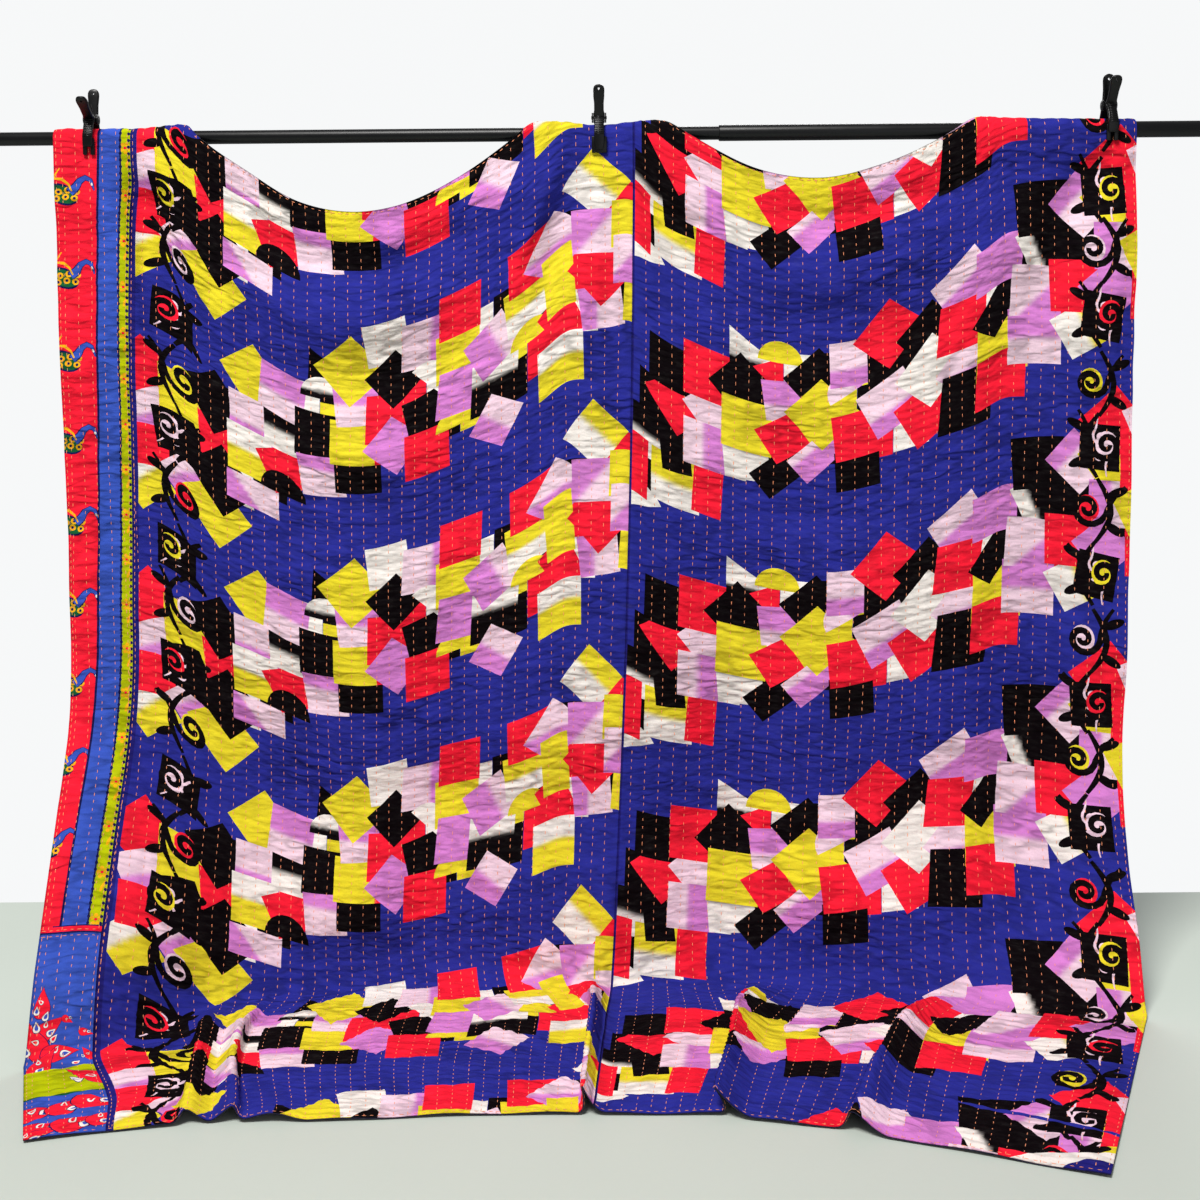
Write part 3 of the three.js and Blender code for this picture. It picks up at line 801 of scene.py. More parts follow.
    def middle(self, s: Array, t: Array) -> Array:
        """The middle of the cloth, in the part's frame, without quilting.

        Args:
            s: Places across.
            t: Places down.

        Returns:
            One row of x, y, z for each place.
        """
        line = self.line(s, t)
        past, floor, down = line["past"], line["floor"], line["down"]
        top = read_table(self.top_edge, 1, s)
        half = self.spread_across(1, s, np.full_like(past, -1e9), np.zeros_like(past))
        foot = self.spread_across(2, s, past, floor)
        hem = self.spread_across(3, s, past, floor)
        hanging = top * (2 * down - 1) * (down - 1) + half * 4 * down * (1 - down)
        x = hanging + (foot + (hem - foot) * floor) * down * (2 * down - 1)
        free = smooth(line["walked"], *self.fade_top) * (1 - smooth(past, *self.fade_foot))
        outward = self.fold_depth(s, t) * free
        wave = np.sin(2 * math.pi * s / self.ripple_pitch) * np.cos(t / self.ripple_pitch)
        outward = outward + self.floor_ripple * (1 + wave) * smooth(past, 0.0, self.ripple_grows)
        for ridge in self.ridges:
            start = ridge[0] + (ridge[1] - ridge[0]) * floor - ridge[2] / 2
            swell = np.sin(math.pi * np.clip((s - start) / ridge[2], 0.0, 1.0)) ** 2
            swell = swell * self.ridge_share(ridge, past, floor)
            outward = outward + ridge[4] * swell
            x = x + ridge[5] * swell
        y = self.axis_y - line["forward"] - outward * np.cos(line["heading"])
        z = self.axis_z - self.rod_height + line["height"] + outward * np.sin(line["heading"])
        return np.stack([x, y, z], 1)

    def normal(self, s: Array, t: Array) -> Array:
        """Unit normals towards the printed side.

        Args:
            s: Places across.
            t: Places down.

        Returns:
            One row of x, y, z for each place.
        """
        across = self.middle(s + self.step, t) - self.middle(s - self.step, t)
        down = self.middle(s, t + self.step) - self.middle(s, t - self.step)
        out = np.cross(down, across)
        return out / np.linalg.norm(out, axis=1, keepdims=True)

    def wobble(self, s: Array, t: Array) -> Array:
        """Sideways drift of the hand-sewn rows."""
        return sum(far * np.sin(t / down + s / across) for far, down, across in self.sway)

    def channel(self, s: Array, t: Array) -> Array:
        """Swell between two rows of stitches, 0 on a row and 1 half way."""
        phase = (s - self.wobble(s, t) - self.first_row) / self.row_pitch
        return np.abs(np.sin(math.pi * phase)) ** 0.8

    def stitch_start(self, row: Array) -> Array:
        """Where the stitches of a row begin, different from row to row."""
        return self.stitch_pitch * np.modf(np.abs(np.sin(row * 12.9898 + 4.1)) * 43758.5453)[0]

    def puckers(self, s: Array, t: Array) -> Array:
        """Ripples drawn up between the stitches of neighbouring rows, from -1 to 1.

        Args:
            s: Places across.
            t: Places down.

        Returns:
            One height for each place.
        """
        place = (s - self.wobble(s, t) - self.first_row) / self.row_pitch
        row = np.floor(place)
        share = smooth(place - row, 0.0, 1.0)
        here, there = (
            -np.cos(2 * math.pi * (t - self.stitch_start(k)) / self.stitch_pitch) for k in (row, row + 1))
        return here * (1 - share) + there * share

    def level(self, s: Array, t: Array) -> Array:
        """Places down along which the crimps run, flatter than the swags."""
        return t + self.levelling * np.interp(s, *self.sag)

    def pulled(self, s: Array, t: Array) -> Array:
        """Height of the long soft folds that run down from the clips.

        Args:
            s: Places across.
            t: Places down.

        Returns:
            One height for each place.
        """
        height = np.zeros(np.broadcast(s, t).shape)
        for s0, t0, s1, t1, half, depth in self.pulls:
            along = np.array([s1 - s0, t1 - t0])
            share = ((s - s0) * along[0] + (t - t0) * along[1]) / (along @ along)
            aside = ((s - s0) * along[1] - (t - t0) * along[0]) / np.linalg.norm(along)
            ends = smooth(share, -0.1, 0.15) * (1 - smooth(share, 0.4, 1.0))
            height = height + depth * ends * np.exp(-((aside / half) ** 2))
        return height

    def free(self, line: dict[str, Array]) -> Array:
        """How far the cloth hangs free of the rod and the floor, from 0 to 1."""
        return smooth(line["walked"], *self.leaves_rod) * (1 - smooth(line["past"], *self.meets_floor))

    def relief(self, rows: tuple, s: Array, t: Array) -> Array:
        """Sum of some rows of random hills."""
        return sum(row[3] * self.noises[row].at(s, t) for row in rows)

    def crease(self, s: Array, t: Array, front: bool) -> Array:
        """Height of the creases and puckers, upwards only on the rod and the floor.

        Args:
            s: Places across.
            t: Places down.
            front: Whether the printed side is asked for, which alone has the fine puckers.

        Returns:
            Height off the smooth cloth.
        """
        line = self.line(s, t)
        lying = smooth(line["past"], *self.meets_floor)
        free = self.free(line)
        down = self.level(s, t)
        swell = self.relief(self.hills, s, down)
        layers = (swell + self.pulled(s, t)) * free + self.resting_hills * np.abs(swell) * lying
        if not front:
            return layers - self.backing_sink * free
        drawn = self.pucker * self.puckers(s, t)
        ripple = self.relief(self.ripples, s, down)
        hollows = [(row[3], 1 - np.abs(self.noises[row].at(s, down))) for row in self.furrows]
        furrow = sum(depth * hollow ** self.sharpness for depth, hollow in hollows)
        fine = np.maximum(drawn + ripple - furrow, -self.deepest)
        near = np.min([np.abs(s - clip) for clip in self.clips], axis=0)
        loose = np.maximum(smooth(near, *self.pressed_across), smooth(t, *self.pressed_down))
        resting = self.resting_pucker * (drawn + self.pucker) + self.resting_ripple * np.abs(ripple)
        resting = resting * (1 + self.floor_gain * lying)
        return layers + (fine * free + resting * (1 - free)) * loose


# Print


@dataclass(frozen=True)
class Fade:
    """A second dye that a motif turns to between two places."""

    ink: Ink
    start: Array
    end: Array


@dataclass(frozen=True)
class Motif:
    """One printed shape on the flat cloth."""

    outline: Array
    ink: Ink
    fade: Optional[Fade] = None

    def colours(self, places: Array) -> Array:
        """Colours of the motif at places on it.

        Args:
            places: Places on the cloth.

        Returns:
            One colour for each place.
        """
        base = np.tile(self.ink.linear, (len(places), 1))
        if self.fade is None:
            return base
        along = self.fade.end - self.fade.start
        share = smooth((places - self.fade.start) @ along / (along @ along), 0.0, 1.0)[:, None]
        return base * (1 - share) + self.fade.ink.linear * share


def placed(outline: Array, at: Sequence[float], turn: float = 0.0) -> Array:
    """An outline turned by degrees and moved.

    Args:
        outline: Points of the outline.
        at: Where its middle goes.
        turn: Degrees.

    Returns:
        The moved outline.
    """
    a = math.radians(turn)
    spin = np.array([[math.cos(a), math.sin(a)], [-math.sin(a), math.cos(a)]])
    return outline @ spin + np.array(at)


def oblong(wide: float, high: float) -> Array:
    """A rectangle about the origin."""
    return np.array([(-1, -1), (1, -1), (1, 1), (-1, 1)]) * (wide / 2, high / 2)


def wedge(wide: float, high: float) -> Array:
    """A triangle about the origin."""
    return np.array([(-wide / 2, high / 2), (wide / 2, high / 2), (0, -high / 2)])


def oval(wide: float, high: float, sides: int = 18) -> Array:
    """An ellipse about the origin."""
    a = np.linspace(0, 2 * math.pi, sides, endpoint=False)
    return np.stack([np.cos(a) * wide / 2, np.sin(a) * high / 2], 1)


def half_disc(radius: float) -> Array:
    """Half of a disc, flat side down."""
    a = np.linspace(math.pi, 2 * math.pi, 13)
    return np.stack([np.cos(a), np.sin(a)], 1) * radius


def drop(wide: float, high: float, lean: float = 0.0) -> Array:
    """A teardrop that points up, its tip leaning to one side.

    Args:
        wide: Its width.
        high: Its height.
        lean: How far the tip leans.

    Returns:
        Its outline.
    """
    a = np.linspace(0, 2 * math.pi, 22, endpoint=False)
    y = -np.cos(a) * high / 2
    x = np.sin(a) * np.sin(a / 2) ** 1.6 * wide / 2 * 1.3
    return np.stack([x + lean * ((high / 2 - y) / high) ** 2, y], 1)


def ribbon(path: Array, widths: Sequence[float]) -> Array:
    """A stroke of changing width along a path.

    Args:
        path: Points along its middle.
        widths: Widths from its start to its end.

    Returns:
        Its outline.
    """
    along = np.gradient(path, axis=0)
    along /= np.linalg.norm(along, axis=1, keepdims=True)
    aside = np.stack([-along[:, 1], along[:, 0]], 1)
    width = np.interp(np.linspace(0, 1, len(path)), np.linspace(0, 1, len(widths)), widths)[:, None] / 2
    return np.vstack([path + aside * width, (path - aside * width)[::-1]])


def volute(radius: float, turns: float, tail: float) -> Array:
    """The path of a scroll: a tail that curls into a spiral.

    Args:
        radius: Radius of the spiral.
        turns: Its turns.
        tail: Length of the tail.

    Returns:
        Points along the path.
    """
    a = np.linspace(0, 2 * math.pi * turns, int(16 * turns))
    r = radius * np.exp(-0.17 * a)
    curl = np.stack([r * np.cos(a), r * np.sin(a)], 1)
    u = np.linspace(1, 0, 9)[:-1, None]
    sweep = np.hstack([radius + tail * 0.35 * u ** 2, -tail * u])
    return np.vstack([sweep, curl])


@dataclass
class Chart:
    """Motifs of one piece of cloth in printing order, over a ground."""

    ground: Ink
    motifs: list[Motif] = field(default_factory=list)

    def add(self, outline: Array, ink: Ink, fade: Optional[Fade] = None) -> None:
        """Print one shape over the others."""
        self.motifs.append(Motif(np.asarray(outline, float), ink, fade))

    def dress(self, middles: Array, corners: Array) -> Array:
        """Colour faces of the flat cloth.

        Args:
            middles: Face middles.
            corners: The corners of each face.

        Returns:
            One colour for each corner of each face.
        """
        owner = np.full(len(middles), -1)
        for k, motif in enumerate(self.motifs):
            low, high = motif.outline.min(0), motif.outline.max(0)
            near = np.flatnonzero(((middles >= low) & (middles <= high)).all(1))
            if len(near):
                owner[near[within(middles[near], motif.outline)]] = k
        colours = np.tile(self.ground.linear, (len(middles), 3, 1))
        for k in np.unique(owner[owner >= 0]):
            mine = owner == k
            colours[mine] = self.motifs[k].colours(corners[mine].reshape(-1, 2)).reshape(-1, 3, 4)
        return colours


def within(places: Array, outline: Array) -> Array:
    """Which places lie inside an outline.

    Args:
        places: Places on the cloth.
        outline: A closed outline.

    Returns:
        One flag for each place.
    """
    inside = np.zeros(len(places), bool)
    x, y = places[:, 0], places[:, 1]
    for (ax, ay), (bx, by) in zip(outline, np.roll(outline, -1, 0)):
        crosses = (ay > y) != (by > y)
        if ay != by:
            inside ^= crosses & (x < (bx - ax) * (y - ay) / (by - ay) + ax)
    return inside


@dataclass
class TumbledPrint:
    """Garlands of tumbling squares, bars, wedges and half discs on indigo, with a vine down one side.

    Attributes:
        left: Where the print starts across.
        right: Where it ends.
        vine_side: -1 for a vine at the left, 1 at the right.
        phase: Start of the garland's wave.
        climb: Rise of the garland from left to right.
        seed: Start of the random draws.
        repeat: Length of one repeat.
        first: How far down the first repeat starts.
        swing: Height of the garland's wave.
        step: Distance from one column of shapes to the next.
        offsets: Places of a column's shapes, off the garland's middle.
        gaps: Places of the small fillers between two columns.
        filler: Width and height of a filler.
        fillers: Inks of the fillers in turn.
        stagger: How far every second column is moved down.
        jitter: How far a shape strays across and down.
        apart: Distance within which shapes are neighbours.
        alike: Share of the chance left to a neighbour's ink.
        ragged: Chance that an outer shape is missing.
        inks: Inks of the shapes.
        weights: Their chances.
        kinds: Chances of squares, bars, wedges, half discs and leaning squares.
        turns: Turns that shapes are drawn from, in degrees.
        vine_pitch: Length of one wave of the vine.
        vine_in: How far its stem stands in from the edge.
        vine_sway: How far the stem swings.
        block_in: How far its square blocks stand in.
    """

    left: float
    right: float
    vine_side: int
    phase: float
    climb: float
    seed: int
    repeat: float = 468.0
    first: float = 150.0
    swing: float = 40.0
    step: float = 71.0
    offsets: tuple = (-112.0, -38.0, 38.0, 112.0)
    gaps: tuple = (-75.0, 0.0, 75.0)
    filler: tuple = (70.0, 78.0)
    fillers: tuple = (Ink.BLACK, Ink.YELLOW, Ink.BLACK, Ink.RED, Ink.WHITE)
    stagger: float = 18.0
    jitter: tuple = (9.0, 10.0)
    apart: float = 104.0
    alike: float = 0.05
    ragged: float = 0.16
    inks: tuple = (Ink.BLACK, Ink.RED, Ink.YELLOW, Ink.PINK, Ink.WHITE, Ink.LILAC)
    weights: tuple = (0.265, 0.165, 0.18, 0.25, 0.075, 0.065)
    kinds: tuple = (0.68, 0.16, 0.05, 0.04, 0.07)
    turns: tuple = (0.0, 0.0, 0.0, 4.0, -6.0, 45.0, 42.0, 48.0, -28.0, 90.0)
    vine_pitch: float = 236.0
    vine_in: float = 66.0
    vine_sway: float = 27.0
    block_in: float = 62.0

    def garland(self, s: float) -> float:
        """Place down of the garland's middle within a repeat."""
        share = (s - self.left) / (self.right - self.left)
        return self.swing * math.sin(2 * math.pi * share * 1.4 + self.phase) - self.climb * share

    def shape(self, rng: np.random.Generator) -> Array:
        """Draw one of the tumbling shapes.

        Args:
            rng: The random draws.

        Returns:
            Its outline.
        """
        kind = rng.choice(len(self.kinds), p=self.kinds)
        if kind == 0:
            side = rng.uniform(84, 106)
            return oblong(side, side * rng.uniform(0.92, 1.06))
        if kind == 1:
            return oblong(rng.uniform(52, 66), rng.uniform(94, 118))
        if kind == 2:
            return wedge(rng.uniform(90, 124), rng.uniform(76, 100))
        if kind == 3:
            return half_disc(rng.uniform(42, 54))
        return np.array([(-46, -38), (42, -46), (52, 34), (-36, 44)]) * rng.uniform(0.9, 1.15)

    def tile(self) -> list[Motif]:
        """The motifs of one repeat.

        Returns:
            The motifs, the lowest first.
        """
        rng = np.random.default_rng(self.seed)
        under, over, done = [], [], []
        for column, s in enumerate(np.arange(self.left + 10, self.right + self.step / 2, self.step)):
            for offset in rng.permutation(self.offsets):
                outer = abs(offset) > self.offsets[-1] / 2
                if outer and rng.random() < self.ragged:
                    continue
                down = self.garland(s) + offset + self.stagger * (-1) ** column
                stray = [rng.uniform(-far, far) for far in self.jitter]
                at = np.array([s, down]) + stray
                turn = rng.choice(self.turns) + rng.uniform(-2, 2)
                ink = self.chosen(at, done, rng)
                done.append((at, ink))
                outline = placed(self.shape(rng), at, turn)
                over.append(Motif(outline, ink, self.two_tone(ink, at, turn, rng)))
            between = s + self.step / 2
            for k, gap in enumerate(self.gaps):
                outline = placed(oblong(*self.filler), (between, self.garland(between) + gap))
                under.append(Motif(outline, self.fillers[(column + k) % len(self.fillers)]))
        return under + over

    def chosen(self, at: Array, done: list[tuple[Array, Ink]], rng: np.random.Generator) -> Ink:
        """Draw an ink that seldom repeats a near neighbour's.

        Args:
            at: The shape's place.
            done: Places and inks so far.
            rng: The random draws.

        Returns:
            The ink.
        """
        near = {ink for there, ink in done if np.hypot(*(at - there)) < self.apart}
        chances = zip(self.inks, self.weights)
        weights = np.array([w * (self.alike if ink in near else 1) for ink, w in chances])
        return self.inks[rng.choice(len(self.inks), p=weights / weights.sum())]

    def two_tone(self, ink: Ink, at: Array, turn: float, rng: np.random.Generator) -> Optional[Fade]:
        """A soft second dye across some of the shapes.

        Args:
            ink: The shape's own ink.
            at: Its place.
            turn: Its turn in degrees.
            rng: The random draws.

        Returns:
            The fade, if it has one.
        """
        chance, second = {
            Ink.PINK: (0.85, Ink.LILAC), Ink.LILAC: (0.6, Ink.PINK), Ink.WHITE: (0.55, Ink.BLACK),
            Ink.YELLOW: (0.22, Ink.WHITE), Ink.BLACK: (0.12, Ink.WHITE),
        }.get(ink, (0.0, ink))
        if rng.random() >= chance:
            return None
        a = math.radians(turn + rng.choice((0, 90, 180, 270, 45)))
        way = np.array([math.cos(a), math.sin(a)])
        first = rng.uniform(-20, 10)
        return Fade(second, at + way * first, at + way * (first + rng.uniform(6, 15)))

    def vine(self, chart: Chart, length: float) -> None:
        """Print a running vine with curls and leaves down the outer side.

        Args:
            chart: The chart to print on.
            length: The cloth's length.
        """
        rng = np.random.default_rng(self.seed + 1)
        edge = self.left if self.vine_side < 0 else self.right
        inward = -self.vine_side
        half = self.vine_pitch / 2
        middle, blocks = edge + inward * self.vine_in, edge + inward * self.block_in
        for k in range(-1, int(length / half) + 2):
            down = k * half + rng.uniform(-6, 6)
            sway = inward * (1 if k % 2 else -1)
            if k % 2:
                block = placed(oblong(78, 84), (blocks, down + 62), inward * rng.uniform(-9, 9))
                chart.add(block, Ink.BLACK)
                for turn, below in ((30, 44), (200, 78)):
                    curl = ribbon(volute(15, 1.3, 30) * (sway, 1), (2, 5, 6, 4))
                    chart.add(placed(curl, (blocks, down + below), turn), Ink.PINK)
            t = np.linspace(0, half, 16)
            stem = np.stack([middle + sway * self.vine_sway * np.sin(math.pi * t / half), down + t], 1)
            chart.add(ribbon(stem, (7, 11, 12, 11, 7)), Ink.BLACK)
            heart = np.array([middle - sway * 17, down + half * 0.48])
            chart.add(placed(oval(44, 50), heart), (Ink.RED, Ink.YELLOW, Ink.PINK)[k % 3])
            curl = ribbon(volute(33 + rng.uniform(-3, 3), 1.5, 62) * (sway, 1), (6, 12, 13, 11, 9))
            chart.add(placed(curl, heart, 8 * sway + rng.uniform(-8, 8)), Ink.BLACK)
            for away, below, turn in ((40, 24, 66), (36, 92, 118)):
                leaf = placed(oval(17, 42), (middle + sway * away, down + below), sway * turn)
                chart.add(leaf, Ink.BLACK)

    def print_on(self, chart: Chart, length: float) -> None:
        """Print the repeats down a length of cloth.

        Args:
            chart: The chart to print on.
            length: The cloth's length.
        """
        tile = self.tile()
        for k in range(-1, int((length + self.climb) / self.repeat) + 2):
            shift = np.array([0.0, k * self.repeat + self.first])
            for motif in tile:
                fade = motif.fade
                moved = fade and Fade(fade.ink, fade.start + shift, fade.end + shift)
                chart.add(motif.outline + shift, motif.ink, moved)
        self.vine(chart, length)


def strip(left: Across, right: Across, top: float, bottom: float, pitch: float = 50.0) -> Array:
    """The outline of a strip between two curves that run down the cloth."""
    t = np.linspace(top, bottom, max(2, int((bottom - top) / pitch)))
    return np.vstack([np.stack([left(t), t], 1), np.stack([right(t), t], 1)[::-1]])


@dataclass
class BorderPrint:
    """Red, blue and lime strips with birds and small flowers, measured from the border's seam."""

    drape: Drape
    bird_start: float = 27.0
    bird_pitch: float = 166.0
    flower_pitch: float = 92.0

    def lime_edge(self, t: Array) -> Array:
        """Where blue turns to lime."""
        return self.drape.seam_at(t) - (18.0 + 8.0 * t / self.drape.corner_top)

    def blue_edge(self, t: Array) -> Array:
        """Where red turns to blue."""
        return self.lime_edge(t) - (41.0 + 9.0 * t / self.drape.corner_top)

    def bird(self, chart: Chart, at: Array) -> None:
        """Print one bird that looks to the right, its spotted tail to the left.

        Args:
            chart: The print that takes it.
            at: The bird's place.
        """
        chart.add(placed(oval(64, 40), at + (-26, 10), 24), Ink.NAVY)
        chart.add(placed(oval(56, 32), at + (-26, 10), 24), Ink.GREEN)
        for k in range(9):
            spot = at + (-50 + 17 * (k % 4) - 4 * (k // 4), 2 + 13 * (k // 4) + 3 * (k % 2))
            chart.add(placed(oval(14, 13, 10), spot), Ink.GOLD)
            chart.add(placed(oval(6, 6, 8), spot), Ink.NAVY)
        neck = np.array([(-12, 6), (0, -4), (8, -16), (19, -22), (29, -17), (33, -6), (35, 3)], float)
        chart.add(placed(ribbon(neck, (20, 18, 13, 11, 7, 3)), at), Ink.NAVY)
        chart.add(placed(ribbon(neck, (16, 14, 10, 8, 4, 1)), at), Ink.BLUE)
        chart.add(placed(oval(4, 7, 8), at + (31, -9), -20), Ink.WHITE)
        wing = np.array([(-44, -22), (-26, -20), (-14, -10), (-8, 4)], float)
        chart.add(placed(ribbon(wing, (3, 6, 4, 3)), at), Ink.GOLD)
        crest = np.array([(-44, -18), (-38, -30), (-30, -42)], float)
        chart.add(placed(ribbon(crest, (4, 3, 2)), at), Ink.GOLD)
        chart.add(placed(oval(9, 12, 10), at + (-51, -32), 15), Ink.NAVY)

    def print_on(self, chart: Chart) -> None:
        """Print the whole border.

        Args:
            chart: The print that takes it.
        """
        bottom = self.drape.corner_top
        end = bottom - 13.0
        for k in range(int(bottom / self.bird_pitch)):
            t = self.bird_start + self.bird_pitch * k
            self.bird(chart, np.array([float(self.drape.seam_at(t)) - 103.0, t]))
        chart.add(strip(self.blue_edge, self.lime_edge, -20, end), Ink.BLUE)
        chart.add(strip(self.lime_edge, lambda t: self.drape.seam_at(t) + 9, -20, end), Ink.LIME)
        for k in range(19):
            t = 20.0 + self.flower_pitch * k
            s = float(self.lime_edge(t) + self.drape.seam_at(t)) / 2
            for j in range(5):
                a = math.radians(72 * j + 11 * k)
                petal = np.array([s + 6.5 * math.cos(a), t + 8.5 * math.sin(a)])
                chart.add(placed(oval(8, 8, 9), petal), Ink.GOLD)
            chart.add(placed(oval(6, 6, 8), (s, t)), Ink.RED)
            chart.add(placed(drop(6, 26, 3), (s + 3, t + 26), 12), Ink.GOLD)
        for edge, wide in ((self.blue_edge, 4.5), (self.lime_edge, 3.0)):
            chart.add(strip(lambda t: edge(t) - wide / 2, lambda t: edge(t) + wide / 2, -20, end), Ink.NAVY)
        for edge in (self.lime_edge, lambda t: self.drape.seam_at(t) - 3.0):
            for t in np.arange(6.0, end, 13.0):
                chart.add(placed(oval(6, 7, 8), (float(edge(t)), t)), Ink.NAVY)
        middle = float(self.blue_edge(end) + 158.0) / 2
        chart.add(placed(oblong(3, 150), (middle, end), 90), Ink.NAVY)
        chart.add(placed(oblong(14, 400), (100, end + 8), 90), Ink.RED)
        chart.add(placed(oblong(3, 400), (100, bottom - 1), 90), Ink.NAVY)


@dataclass
class CornerPrint:
    """Blue ground with red drops, white eyes and a lime band.

    Attributes:
        upper: Places, sizes and turns of the paisleys above the band.
        eyes: Places, sizes and turns of the single eyes.
        lower: Places, sizes and turns of the paisleys on and below the band.
        band: The lime band's outline.
    """

    upper: tuple = (
        ((16, 1828), 34, -20), ((34, 1868), 38, 36), ((10, 1898), 44, -44), ((58, 1912), 42, 64),
        ((26, 1938), 46, 10), ((104, 1880), 16, 80), ((108, 1922), 18, -60), ((70, 1858), 14, 100),
    )
    eyes: tuple = (((30, 1850), 15, 20), ((92, 1940), 13, 60), ((14, 1868), 17, -10), ((48, 1890), 14, 40))
    lower: tuple = (
        ((104, 2000), 52, -70), ((20, 2112), 54, 62), ((66, 2102), 50, 40), ((110, 2092), 48, 84),
        ((34, 2168), 52, 75), ((84, 2160), 56, 58), ((122, 2150), 40, 30), ((8, 2190), 40, 50),
    )
    band: tuple = ((-20, 1962), (60, 1956), (160, 1940), (160, 2046), (60, 2060), (-20, 2066))

    def eye(self, chart: Chart, at: Sequence[float], size: float, turn: float, blue: bool) -> None:
        """Print a white drop with a coloured heart.

        Args:
            chart: The print that takes it.
            at: Its place.
            size: Its height.
            turn: Its turn in degrees.
            blue: Whether its heart is blue.
        """
        chart.add(placed(drop(size, size * 1.35), at, turn), Ink.NAVY)
        chart.add(placed(drop(size * 0.86, size * 1.2), at, turn), Ink.WHITE)
        chart.add(placed(drop(size * 0.46, size * 0.74), at, turn), Ink.BLUE if blue else Ink.RED)

    def paisley(self, chart: Chart, at: Sequence[float], size: float, turn: float) -> None:
        """Print a red paisley with two eyes.

        Args:
            chart: The print that takes it.
            at: Its place.
            size: Its size.
            turn: Its turn in degrees.
        """
        here = np.array(at)
        chart.add(placed(drop(size * 1.06, size * 1.66, size * 0.46), here, turn), Ink.NAVY)
        chart.add(placed(drop(size, size * 1.58, size * 0.44), here, turn), Ink.RED)
        a = math.radians(turn)
        way = np.array([math.sin(a), math.cos(a)]) * size
        self.eye(chart, here + way * 0.36, size * 0.4, turn + 20, True)
        self.eye(chart, here - way * 0.12, size * 0.28, turn - 30, False)

    def print_on(self, chart: Chart) -> None:
        """Print the whole corner.

        Args:
            chart: The print that takes it.
        """
        for at, size, turn in self.upper:
            self.paisley(chart, at, size, turn)
        for at, size, turn in self.eyes:
            self.eye(chart, at, size, turn, size > 14)
        band = np.array(self.band, float)
        chart.add(band + (0, 5), Ink.GREEN)
        chart.add(band, Ink.LIME)
        for at, size, turn in self.lower:
            self.paisley(chart, at, size, turn)


# Cloth pieces


